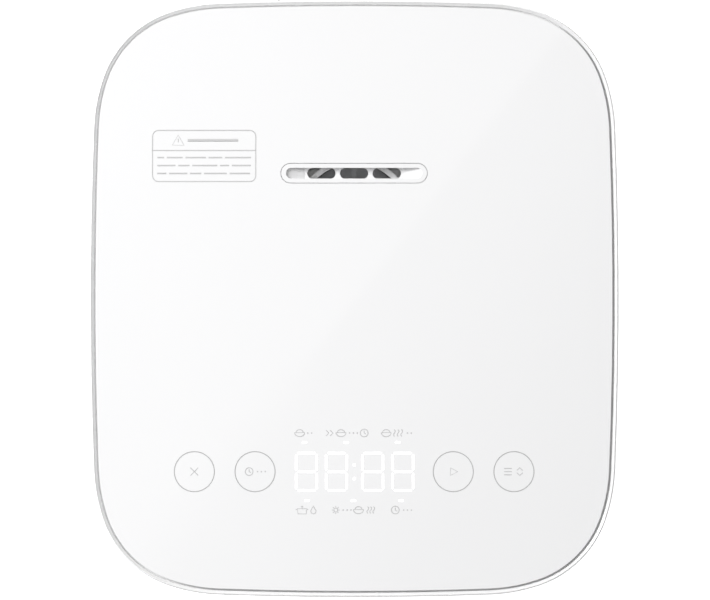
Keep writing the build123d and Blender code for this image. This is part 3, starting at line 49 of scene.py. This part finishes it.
panel_low, panel_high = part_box("top_panel")
PANEL_X = (panel_low.x + panel_high.x) / 2
PANEL_Y = (panel_low.y + panel_high.y) / 2
PANEL_Z = panel_high.z


# ------------------------------------------------------------------ material kit
class Shader:
    """A principled material with a few helpers for its texture nodes."""

    def __init__(self, name):
        self.material = bpy.data.materials.new(name)
        self.material.use_nodes = True
        self.tree = self.material.node_tree
        self.bsdf = self.tree.nodes["Principled BSDF"]

    def node(self, kind, **values):
        made = self.tree.nodes.new(kind)
        for key, value in values.items():
            if key in made.inputs:
                made.inputs[key].default_value = value
            else:
                setattr(made, key, value)
        return made

    def link(self, source, target):
        self.tree.links.new(source, target)

    def set(self, **values):
        for key, value in values.items():
            self.bsdf.inputs[key.replace("_", " ")].default_value = value

    def place(self, stretch=(1, 1, 1)):
        """Object coordinates, stretched along each axis."""
        where = self.node("ShaderNodeTexCoord")
        mapping = self.node("ShaderNodeMapping")
        mapping.inputs["Scale"].default_value = stretch
        self.link(where.outputs["Object"], mapping.inputs["Vector"])
        return mapping.outputs["Vector"]

    def spun(self, around=800.0, across=12.0, centre=(0.0, 0.0)):
        """Coordinates that follow circles about an upright axis, for lathe-spun metal."""
        where = self.node("ShaderNodeTexCoord")
        split = self.node("ShaderNodeSeparateXYZ")
        self.link(where.outputs["Object"], split.inputs[0])
        x = self.node("ShaderNodeMath", operation="SUBTRACT")
        x.inputs[1].default_value = centre[0]
        y = self.node("ShaderNodeMath", operation="SUBTRACT")
        y.inputs[1].default_value = centre[1]
        self.link(split.outputs["X"], x.inputs[0])
        self.link(split.outputs["Y"], y.inputs[0])
        flat = self.node("ShaderNodeCombineXYZ")
        self.link(x.outputs[0], flat.inputs["X"])
        self.link(y.outputs[0], flat.inputs["Y"])
        length = self.node("ShaderNodeVectorMath", operation="LENGTH")
        self.link(flat.outputs[0], length.inputs[0])
        radius = self.node("ShaderNodeMath", operation="MULTIPLY")
        radius.inputs[1].default_value = around
        self.link(length.outputs["Value"], radius.inputs[0])
        unit = self.node("ShaderNodeVectorMath", operation="NORMALIZE")
        self.link(flat.outputs[0], unit.inputs[0])
        spread = self.node("ShaderNodeVectorMath", operation="SCALE")
        spread.inputs["Scale"].default_value = across
        self.link(unit.outputs["Vector"], spread.inputs[0])
        parts = self.node("ShaderNodeSeparateXYZ")
        self.link(spread.outputs["Vector"], parts.inputs[0])
        height = self.node("ShaderNodeMath", operation="MULTIPLY_ADD")
        height.inputs[1].default_value = around
        self.link(split.outputs["Z"], height.inputs[0])
        self.link(radius.outputs[0], height.inputs[2])
        joined = self.node("ShaderNodeCombineXYZ")
        self.link(parts.outputs["X"], joined.inputs["X"])
        self.link(parts.outputs["Y"], joined.inputs["Y"])
        self.link(height.outputs[0], joined.inputs["Z"])
        return joined.outputs[0]

    def noise(self, vector, scale, detail=3.0, roughness=0.55):
        texture = self.node("ShaderNodeTexNoise", Scale=scale, Detail=detail, Roughness=roughness)
        self.link(vector, texture.inputs["Vector"])
        return texture.outputs["Fac"]

    def ramp(self, factor, stops):
        """A colour or grey that runs through (position, value) stops."""
        made = self.node("ShaderNodeValToRGB")
        elements = made.color_ramp.elements
        while len(elements) < len(stops):
            elements.new(0.5)
        for element, (position, value) in zip(elements, stops):
            element.position = position
            colour = (value, value, value) if isinstance(value, (int, float)) else value
            element.color = (*colour[:3], 1)
        self.link(factor, made.inputs["Fac"])
        return made.outputs["Color"]

    def span(self, factor, low, high):
        """The factor's middle range remapped to low..high."""
        made = self.node("ShaderNodeMapRange")
        made.inputs["From Min"].default_value = 0.3
        made.inputs["From Max"].default_value = 0.7
        made.inputs["To Min"].default_value = low
        made.inputs["To Max"].default_value = high
        self.link(factor, made.inputs["Value"])
        return made.outputs["Result"]

    def bump(self, height, distance, strength=1.0):
        made = self.node("ShaderNodeBump", Strength=strength, Distance=distance)
        self.link(height, made.inputs["Height"])
        self.link(made.outputs["Normal"], self.bsdf.inputs["Normal"])

    def colour(self, output):
        self.link(output, self.bsdf.inputs["Base Color"])

    def roughness(self, output):
        self.link(output, self.bsdf.inputs["Roughness"])


def shade(colour, factor):
    return tuple(min(1.0, c * factor) for c in colour[:3])


def plastic(name, colour, rough=(0.25, 0.32), variation=0.02, grain=900, bump=0.004, **sockets):
    """Moulded plastic: faint flow clouds in its colour and a fine moulded grain."""
    s = Shader(name)
    place = s.place()
    clouds = s.noise(place, 9, 2)
    s.colour(s.ramp(clouds, ((0.3, shade(colour, 1 - variation)), (0.7, shade(colour, 1)))))
    fine = s.noise(place, grain, 4)
    s.roughness(s.span(s.noise(place, grain / 6, 3), *rough))
    s.bump(fine, bump * MM)
    s.set(**sockets)
    return s.material


def metal(name, colour, rough=(0.28, 0.4), spun=None, stretch=(1, 1, 1),
          bump=0.004, scale=300, variation=0.08):
    """Bare metal, brushed along one axis or spun about an upright one."""
    s = Shader(name)
    place = s.spun(centre=spun) if spun is not None else s.place(stretch)
    lines = s.noise(place, 1.0 if spun is not None else scale, 4, 0.7)
    s.colour(s.ramp(lines, ((0.25, shade(colour, 1 - variation)), (0.75, shade(colour, 1)))))
    s.roughness(s.span(lines, *rough))
    s.bump(lines, bump * MM)
    s.set(Metallic=1.0)
    return s.material


def rubber(name, colour, rough=(0.6, 0.75), bump=0.02, **sockets):
    """Matt rubber or silicone with a soft speckle."""
    s = Shader(name)
    place = s.place()
    speckle = s.noise(place, 1400, 3)
    s.colour(s.ramp(s.noise(place, 60, 3), ((0.3, shade(colour, 0.92)), (0.7, shade(colour, 1)))))
    s.roughness(s.span(speckle, *rough))
    s.bump(speckle, bump * MM)
    s.set(**sockets)
    return s.material


WHITE = (0.86, 0.86, 0.86)
PANEL = (0.86, 0.86, 0.865)


def slot_materials():
    """One material for each of the record's slots."""
    made = {
        "body_white": plastic("body_white", WHITE, (0.22, 0.3), 0.012, Coat_Weight=0.25, Coat_Roughness=0.12),
        "panel_white": plastic("panel_white", PANEL, (0.3, 0.34), 0.008, bump=0.0, Coat_Weight=1.0,
                               Coat_Roughness=0.02),
        "grille_white": plastic("grille_white", PANEL, (0.3, 0.36), 0.01, bump=0.001, Coat_Weight=1.0,
                                Coat_Roughness=0.05),
        "liner_grey": plastic("liner_grey", (0.62, 0.63, 0.64), (0.4, 0.55), 0.04, 500, 0.02),
        "silicone": rubber("silicone", (0.78, 0.79, 0.78), (0.45, 0.6), 0.01, Subsurface_Weight=0.15),
        "bare_aluminium": metal("bare_aluminium", (0.80, 0.81, 0.82), spun=(0, 0)),
        "housing_steel": metal("housing_steel", (0.62, 0.63, 0.64), (0.35, 0.5), spun=(0, 0)),
        "spring_steel": metal("spring_steel", (0.55, 0.56, 0.58), (0.2, 0.3), scale=900),
        "screw_steel": metal("screw_steel", (0.66, 0.66, 0.67), (0.25, 0.4), scale=700),
        "heater_steel": metal("heater_steel", (0.30, 0.28, 0.26), (0.4, 0.6), scale=400, variation=0.25),
        "mica_band": plastic("mica_band", (0.66, 0.58, 0.42), (0.6, 0.8), 0.12, 700, 0.05),
        "module_white": plastic("module_white", (0.80, 0.80, 0.80), (0.4, 0.5), 0.02),
        "part_black": plastic("part_black", (0.025, 0.025, 0.028), (0.35, 0.5), 0.25, 900, 0.015),
        "part_blue": plastic("part_blue", (0.05, 0.12, 0.34), (0.25, 0.4), 0.1),
        "ferrite": plastic("ferrite", (0.06, 0.055, 0.055), (0.5, 0.7), 0.25, 600, 0.03),
        "brass_blade": metal("brass_blade", (0.72, 0.62, 0.38), (0.2, 0.32), stretch=(1, 0.1, 1)),
        "wire_sleeve": rubber("wire_sleeve", (0.10, 0.14, 0.36), (0.35, 0.5)),
        "foot_rubber": rubber("foot_rubber", (0.30, 0.31, 0.32)),
        "button_grey": plastic("button_grey", (0.72, 0.72, 0.73), (0.28, 0.36), 0.02, Coat_Weight=0.2),
        "base_white": plastic("base_white", (0.74, 0.74, 0.74), (0.45, 0.6), 0.03, 450, 0.03),
        "ribbon_white": plastic("ribbon_white", (0.72, 0.72, 0.70), (0.4, 0.5), 0.05),
    }
    made["pot_coating"] = pot_coating()
    made["board_green"] = board_green()
    return made


def pot_coating():
    """Dark non-stick coating with a fine pale fleck."""
    s = Shader("pot_coating")
    place = s.place()
    fleck = s.noise(place, 1500, 2, 0.6)
    flecks = ((0.3, (0.022, 0.022, 0.024)), (0.66, (0.035, 0.035, 0.037)), (0.74, (0.12, 0.115, 0.11)))
    s.colour(s.ramp(fleck, flecks))
    s.roughness(s.span(s.noise(place, 300, 3), 0.3, 0.42))
    s.bump(s.noise(place, 700, 3), 0.02 * MM)
    s.set(Metallic=0.35, Coat_Weight=0.3)
    return s.material


def board_green():
    """Solder mask over a brick-like pattern of copper tracks."""
    s = Shader("board_green")
    place = s.place()
    tracks = s.node("ShaderNodeTexVoronoi", Scale=260.0, feature="DISTANCE_TO_EDGE")
    s.link(place, tracks.inputs["Vector"])
    s.colour(s.ramp(tracks.outputs["Distance"], ((0.02, (0.06, 0.22, 0.10)), (0.09, (0.02, 0.11, 0.05)))))
    s.roughness(s.span(s.noise(place, 500, 3), 0.25, 0.4))
    s.bump(tracks.outputs["Distance"], 0.01 * MM)
    return s.material


materials = slot_materials()
for node_name, cad_object in nodes.items():
    cad_object.data.materials.clear()
    cad_object.data.materials.append(materials[slot_of[node_name]])


# ------------------------------------------------------------------ printed marks on the panel
PRINT_RAISE = 0.03 * MM
PRINT_FLATTEN = 0.12
STROKE = 0.19


def print_material(name, colour, emission=0.0):
    s = Shader(name)
    place = s.place()
    ink = s.noise(place, 2500, 3)
    s.colour(s.ramp(ink, ((0.3, shade(colour, 0.95)), (0.7, colour))))
    s.roughness(s.span(ink, 0.35, 0.5))
    if emission:
        s.set(Emission_Color=(1, 1, 1, 1), Emission_Strength=emission)
    return s.material


ink_grey = print_material("ink_grey", (0.50, 0.50, 0.50))
ink_light = print_material("ink_light", (0.62, 0.62, 0.62))
glow_white = print_material("glow_white", (0.9, 0.9, 0.9), 0.55)


def arc(cx, cy, rx, ry=None, start=0, end=360, steps=40):
    """Points of an arc in mm; a full turn is closed by its caller."""
    ry = rx if ry is None else ry
    count = steps if end - start >= 360 else steps + 1
    turn = (end - start) / steps
    return [(cx + rx * cos(radians(start + turn * k)), cy + ry * sin(radians(start + turn * k)))
            for k in range(count)]


def on_panel(piece, material):
    piece.data.materials.clear()
    piece.data.materials.append(material)
    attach(piece, "lid")
    return piece


def strokes(name, lines, material, radius=STROKE, origin=(0, 0), raise_by=PRINT_RAISE):
    """Thin printed lines: each line is (points in mm, closed)."""
    curve = bpy.data.curves.new(name, "CURVE")
    curve.dimensions = "3D"
    curve.bevel_depth = radius * MM
    curve.bevel_resolution = 1
    curve.use_fill_caps = True
    for points, closed in lines:
        spline = curve.splines.new("POLY")
        spline.points.add(len(points) - 1)
        for point, (x, y) in zip(spline.points, points):
            point.co = ((origin[0] + x) * MM, (origin[1] + y) * MM, 0, 1)
        spline.use_cyclic_u = closed
    rig = bpy.data.objects.new(name + "_curve", curve)
    bpy.context.scene.collection.objects.link(rig)
    bpy.context.view_layer.update()
    mesh = bpy.data.meshes.new_from_object(rig.evaluated_get(bpy.context.evaluated_depsgraph_get()))
    bpy.data.objects.remove(rig)
    bpy.data.curves.remove(curve)
    mesh.transform(Matrix.Diagonal((1, 1, PRINT_FLATTEN, 1)))
    mesh.transform(Matrix.Translation((PANEL_X, PANEL_Y, PANEL_Z + raise_by)))
    piece = bpy.data.objects.new(name, mesh)
    bpy.context.scene.collection.objects.link(piece)
    return on_panel(piece, material)


def patches(name, outlines, material, thick=0.05, origin=(0, 0)):
    """Thin printed areas, each a closed outline in mm."""
    bm = bmesh.new()
    for outline in outlines:
        rings = []
        for z in (-thick / 2, thick / 2):
            rings.append([
                bm.verts.new(((origin[0] + x) * MM, (origin[1] + y) * MM, z * MM))
                for x, y in outline
            ])
        low, high = rings
        bm.faces.new(high)
        bm.faces.new(list(reversed(low)))
        for k in range(len(outline)):
            nxt = (k + 1) % len(outline)
            bm.faces.new((low[k], low[nxt], high[nxt], high[k]))
    bmesh.ops.recalc_face_normals(bm, faces=bm.faces)
    mesh = bpy.data.meshes.new(name)
    bm.to_mesh(mesh)
    bm.free()
    mesh.transform(Matrix.Translation((PANEL_X, PANEL_Y, PANEL_Z + PRINT_RAISE)))
    piece = bpy.data.objects.new(name, mesh)
    bpy.context.scene.collection.objects.link(piece)
    return on_panel(piece, material)


def rounded_box(cx, cy, width, height, radius, steps=6):
    """Outline of a rounded rectangle, in mm."""
    outline = []
    for sx, sy, start in ((1, 1, 0), (-1, 1, 90), (-1, -1, 180), (1, -1, 270)):
        corner_x = cx + sx * (width / 2 - radius)
        corner_y = cy + sy * (height / 2 - radius)
        outline += arc(corner_x, corner_y, radius, None, start, start + 90, steps)
    return outline


# ------------------------------------------------------------------ pictograms, each about 3.4 mm high
def icon_cross(w=1.5):
    return [([(-w, -w), (w, w)], False), ([(-w, w), (w, -w)], False)]


def icon_clock(r=1.7):
    return [(arc(0, 0, r, steps=28), True), ([(0, r * 0.6), (0, 0), (r * 0.5, -r * 0.3)], False)]


def icon_play(w=1.5):
    return [([(-w * 0.8, -w), (-w * 0.8, w), (w, 0)], True)]


def icon_list(w=2.0):
    return [([(-w, y), (w, y)], False) for y in (-1.4, 0, 1.4)]


def icon_chevrons(w=1.2):
    return [([(dx - 0.6, w), (dx + 0.6, 0), (dx - 0.6, -w)], False) for dx in (-0.9, 0.9)]


def icon_arrows(w=1.5):
    return [([(-w, 0.5), (0, 1.7), (w, 0.5)], False), ([(-w, -0.5), (0, -1.7), (w, -0.5)], False)]


def icon_bowl(w=2.2):
    bowl = arc(0, 0.2, w, 1.8, 180, 360, 14)
    heap = arc(0, 0.2, w * 0.72, 1.3, 0, 180, 12)
    return [(bowl, True), (heap, False)]


def icon_steam(w=1.6):
    wave = [(0.45 * sin(y * 2.2), y) for y in (-1.5, -1.0, -0.5, 0, 0.5, 1.0, 1.5)]
    return [([(dx + x, y) for x, y in wave], False) for dx in (-w, 0, w)]


def icon_pot(w=2.1):
    return [
        ([(-w, 0.6), (-w * 0.85, -1.7), (w * 0.85, -1.7), (w, 0.6)], True),
        ([(-w - 0.7, 0.2), (-w, 0.2)], False),
        ([(w, 0.2), (w + 0.7, 0.2)], False),
        ([(-0.5, 1.6), (0.5, 1.6)], False),
        ([(0, 0.6), (0, 1.6)], False),
    ]


def icon_sun(r=0.9):
    rays = [([(cos(a) * r * 1.4, sin(a) * r * 1.4), (cos(a) * r * 2.0, sin(a) * r * 2.0)], False)
            for a in [k * pi / 4 for k in range(8)]]
    return [(arc(0, 0, r, steps=20), True)] + rays


def icon_dots(count=3, gap=1.7):
    return [(arc((k - (count - 1) / 2) * gap, 0, 0.16, steps=8), True) for k in range(count)]


def icon_flame():
    left = [(0, 1.8), (-0.7, 0.8), (-1.2, -0.4), (-0.9, -1.3)]
    right = [(0, -1.7), (0.9, -1.3), (1.2, -0.4), (0.6, 0.5)]
    return [(left + right, True)]


def row(*placed):
    """Icons side by side: each is (offset along X in mm, icon lines)."""
    lines = []
    for offset, icon in placed:
        lines += [([(x + offset, y) for x, y in points], closed) for points, closed in icon]
    return lines


# ------------------------------------------------------------------ touch controls and display
TOUCH_X = (-70.3, -43.6, 43.6, 70.3)
TOUCH_Y = -76.1
TOUCH_RADIUS = 8.8
touch_icons = (
    row((0, icon_cross(1.7))),
    row((-2.6, icon_clock()), (2.8, icon_dots())),
    row((0.2, icon_play(1.7))),
    row((-2.6, icon_list(1.7)), (2.6, icon_arrows(1.3))),
)
for index, (x, icon) in enumerate(zip(TOUCH_X, touch_icons), 1):
    strokes(f"touch_ring_{index}", [(arc(0, 0, TOUCH_RADIUS, steps=96), True)], ink_grey, 0.2, (x, TOUCH_Y))
    strokes(f"touch_icon_{index}", icon, ink_light, STROKE, (x, TOUCH_Y))

mode_icons = (
    (-22.0, -59.1, row((-2.0, icon_bowl()), (2.4, icon_dots(2)))),
    (-3.2, -59.1, row((-7.6, icon_chevrons()), (-2.6, icon_bowl()), (2.9, icon_dots()), (7.6, icon_clock()))),
    (18.9, -59.1, row((-4.8, icon_bowl()), (0.4, icon_steam()), (5.4, icon_dots(2)))),
    (-21.1, -93.0, row((-1.8, icon_pot()), (3.2, icon_flame()))),
    (-0.5, -93.0,
     row((-7.6, icon_sun(0.85)), (-2.6, icon_dots()), (2.4, icon_bowl()), (7.8, icon_steam(1.3)))),
    (20.9, -93.0, row((-2.8, icon_clock()), (2.6, icon_dots()))),
)
for index, (x, y, icon) in enumerate(mode_icons, 1):
    strokes(f"mode_icon_{index}", icon, ink_light, STROKE, (x, y))

DIGIT_X = (-20.9, -7.7, 8.25, 21.5)
DIGIT_Y = -76.2
DIGIT_WIDTH = 10.0
DIGIT_HEIGHT = 17.4
SEGMENT = 0.95
SEGMENT_GAP = 0.45


def segment(cx, cy, length, upright):
    """One bar of a seven-segment digit with pointed ends."""
    half = length / 2 - SEGMENT_GAP
    tip = SEGMENT / 2
    upper = [(-half, 0), (-half + tip, tip), (half - tip, tip)]
    outline = upper + [(-x, -y) for x, y in upper]
    if upright:
        outline = [(-y, x) for x, y in outline]
    return [(cx + x, cy + y) for x, y in outline]


def digit(cx, cy):
    """All seven bars of a digit."""
    across = DIGIT_WIDTH - SEGMENT
    tall = (DIGIT_HEIGHT - SEGMENT) / 2
    bars = [segment(cx, cy + dy, across, False) for dy in (-tall, 0, tall)]
    corners = [(dx, dy) for dx in (-across / 2, across / 2) for dy in (-tall / 2, tall / 2)]
    bars += [segment(cx + dx, cy + dy, tall, True) for dx, dy in corners]
    return bars


for index, x in enumerate(DIGIT_X, 1):
    patches(f"digit_{index}", digit(x, DIGIT_Y), glow_white)
patches("digit_colon", [arc(0.1, DIGIT_Y + dy, 0.7, steps=16) for dy in (-3.0, 3.0)], glow_white)
INDICATORS = ((-21.8, -63.3), (-3.5, -63.3), (19.2, -63.3), (-20.7, -88.9), (-0.3, -88.9), (20.7, -88.9))
patches("mode_lights", [rounded_box(x, y, 2.4, 1.0, 0.45, 4) for x, y in INDICATORS], glow_white)


# ------------------------------------------------------------------ generic notice frame
NOTICE_X = -66.0
NOTICE_Y = 62.8
notice_outline = rounded_box(0, 0, 45.4, 22.5, 2.6)
strokes("notice_frame", [(notice_outline, True), ([(-22.7, 2.4), (22.7, 2.4)], False)], ink_light, 0.22,
        (NOTICE_X, NOTICE_Y))
notice_lines = row((-11.4, [([(-2.6, 4.7), (2.6, 4.7), (0, 9.2)], True), ([(0, 6.0), (0, 7.6)], False)]))
strokes("notice_triangle", notice_lines, ink_light, 0.2, (NOTICE_X, NOTICE_Y))


def dashes(left, right, y, lengths, gap):
    """A run of short bars between two ends, in mm."""
    bars = []
    x = left
    k = 0
    while x < right:
        length = min(lengths[k % len(lengths)], right - x)
        bars.append(([(x, y), (x + length, y)], False))
        x += length + gap
        k += 1
    return bars


notice_bars = dashes(-7.2, 15.0, 6.9, (22.2,), 1)
strokes("notice_heading", notice_bars, ink_light, 0.55, (NOTICE_X, NOTICE_Y))
notice_text = []
for y, lengths in ((-0.7, (3, 7, 9, 6, 12)), (-4.2, (8, 5, 11, 4, 9)), (-7.7, (4, 8, 5, 10, 9))):
    notice_text += dashes(-20.6, 20.6, y, lengths, 1.2)
strokes("notice_bars", notice_text, ink_light, 0.3, (NOTICE_X, NOTICE_Y))


# ------------------------------------------------------------------ camera
VIEW_WIDTH = 312.4 * MM
LENS = 200.0
SENSOR = 36.0
camera_data = bpy.data.cameras.new("camera")
camera_data.lens = LENS
camera_data.sensor_width = SENSOR
camera_data.clip_end = 50
camera = bpy.data.objects.new("camera", camera_data)
camera.location = (PANEL_X + 0.42 * MM, PANEL_Y - 0.6 * MM, PANEL_Z + VIEW_WIDTH * LENS / SENSOR)
bpy.context.scene.collection.objects.link(camera)
bpy.context.scene.camera = camera


# ------------------------------------------------------------------ studio
bpy.context.scene.view_settings.view_transform = "Standard"
bpy.context.scene.view_settings.look = "None"

world = bpy.data.worlds.new("studio_world")
bpy.context.scene.world = world
world.use_nodes = True
world_nodes = world.node_tree.nodes
STUDIO_DIM = 0.08
STUDIO_BRIGHT = 0.61
STUDIO_LIGHT_SIDE = (-0.62, 0.62, 0.48)
# the studio is lighter behind and to the left, and falls off low down on the other side
toward = world_nodes.new("ShaderNodeVectorMath")
toward.operation = "DOT_PRODUCT"
toward.inputs[1].default_value = STUDIO_LIGHT_SIDE
studio = world_nodes.new("ShaderNodeMapRange")
studio.inputs["From Min"].default_value = -0.8
studio.inputs["From Max"].default_value = STUDIO_LIGHT_SIDE[2]
studio.inputs["To Min"].default_value = STUDIO_DIM
studio.inputs["To Max"].default_value = STUDIO_BRIGHT
around = world_nodes.new("ShaderNodeTexCoord")
world.node_tree.links.new(around.outputs["Generated"], toward.inputs[0])
world.node_tree.links.new(toward.outputs["Value"], studio.inputs["Value"])
world.node_tree.links.new(studio.outputs["Result"], world_nodes["Background"].inputs["Strength"])
world_nodes["Background"].inputs["Color"].default_value = (1, 1, 1, 1)


def add_area(name, location, target, size, power):
    light = bpy.data.lights.new(name, "AREA")
    light.shape = "RECTANGLE"
    light.size, light.size_y = size
    light.energy = power
    holder = bpy.data.objects.new(name, light)
    holder.location = location
    holder.rotation_euler = (Vector(target) - Vector(location)).to_track_quat("-Z", "Y").to_euler()
    bpy.context.scene.collection.objects.link(holder)
    return holder


KEY_POWER = 65
add_area("key_light", (-1.9, 0.9, 1.85), (0, 0, 0.2), (0.9, 0.9), KEY_POWER)


def stage_plane(name, corners, material):
    mesh = bpy.data.meshes.new(name)
    mesh.from_pydata(corners, [], [tuple(range(len(corners)))])
    plane = bpy.data.objects.new(name, mesh)
    plane.data.materials.append(material)
    bpy.context.scene.collection.objects.link(plane)
    return plane


# the floor glows in a pool about the object and is darker beyond it
GLOW_LEVEL = 0.85
GLOW_REACH = 0.26
GLOW_END = 0.62
floor_shader = Shader("floor_white")
floor_place = floor_shader.place()
floor_shader.colour(floor_shader.ramp(floor_shader.noise(floor_place, 3, 2), ((0.3, 0.88), (0.7, 0.9))))
floor_shader.set(Roughness=0.7, Emission_Strength=GLOW_LEVEL)
from_middle = floor_shader.node("ShaderNodeVectorMath", operation="LENGTH")
floor_shader.link(floor_place, from_middle.inputs[0])
pool = floor_shader.node("ShaderNodeMapRange", interpolation_type="SMOOTHSTEP")
pool.inputs["From Min"].default_value = GLOW_REACH
pool.inputs["From Max"].default_value = GLOW_END
pool.inputs["To Min"].default_value = 1.0
pool.inputs["To Max"].default_value = 0.0
floor_shader.link(from_middle.outputs["Value"], pool.inputs["Value"])
floor_shader.link(pool.outputs["Result"], floor_shader.bsdf.inputs["Emission Color"])
FLOOR = 6.0
stage_plane("floor", [(-FLOOR, -FLOOR, 0), (FLOOR, -FLOOR, 0), (FLOOR, FLOOR, 0), (-FLOOR, FLOOR, 0)],
            floor_shader.material)


# a bounce card high above the lid: its straight edge crosses the panel's reflection
CARD_RISE = 2.6
CARD_HALF = 0.42
CARD_TURN = (0.7918, -0.6108)
CARD_REACH = 1 + CARD_RISE / (VIEW_WIDTH * LENS / SENSOR)
EDGE_SOFT = 0.0005
FADE_START = 0.026
FADE_END = 0.046


def card_levels(shader, across, edge):
    """Brightness across the card, from its bright side to its dim side; edge is half the step's width."""
    span = 0.2
    level = {"far": 1.65, "near": 1.67, "past": 1.15, "low": 0.85}
    stops = ((-0.088, "far"), (-edge, "near"), (edge, "past"), (0.022 + edge, "past"), (0.092, "low"))
    place = shader.node("ShaderNodeMapRange")
    place.inputs["From Min"].default_value = -span / 2
    place.inputs["From Max"].default_value = span / 2
    shader.link(across, place.inputs["Value"])
    top = max(level.values())
    placed = [((u + span / 2) / span, level[key] / top) for u, key in stops]
    return shader.ramp(place.outputs["Result"], placed), top


def card_material():
    """Emission that steps once across the card and fades to a soft step at one end."""
    s = Shader("bounce_card")
    s.tree.nodes.remove(s.bsdf)
    where = s.node("ShaderNodeTexCoord")

    def along(direction):
        dot = s.node("ShaderNodeVectorMath", operation="DOT_PRODUCT")
        dot.inputs[1].default_value = (direction[0] / CARD_REACH, direction[1] / CARD_REACH, 0)
        s.link(where.outputs["Object"], dot.inputs[0])
        return dot.outputs["Value"]

    across = along(CARD_TURN)
    down = along((CARD_TURN[1], -CARD_TURN[0]))
    crisp, top = card_levels(s, across, EDGE_SOFT)
    soft, top = card_levels(s, across, 0.012)
    fade = s.node("ShaderNodeMapRange")
    fade.inputs["From Min"].default_value = FADE_START
    fade.inputs["From Max"].default_value = FADE_END
    s.link(down, fade.inputs["Value"])
    mix = s.node("ShaderNodeMix", data_type="RGBA")
    s.link(fade.outputs["Result"], mix.inputs["Factor"])
    s.link(crisp, mix.inputs["A"])
    s.link(soft, mix.inputs["B"])
    glow = s.node("ShaderNodeEmission", Strength=top)
    s.link(mix.outputs["Result"], glow.inputs["Color"])
    s.link(glow.outputs[0], s.tree.nodes["Material Output"].inputs["Surface"])
    return s.material


card_corners = [(-CARD_HALF, CARD_HALF, 0), (CARD_HALF, CARD_HALF, 0),
                (CARD_HALF, -CARD_HALF, 0), (-CARD_HALF, -CARD_HALF, 0)]
card = stage_plane("bounce_card", card_corners, card_material())
card.location = (camera.location.x, camera.location.y, PANEL_Z + CARD_RISE)
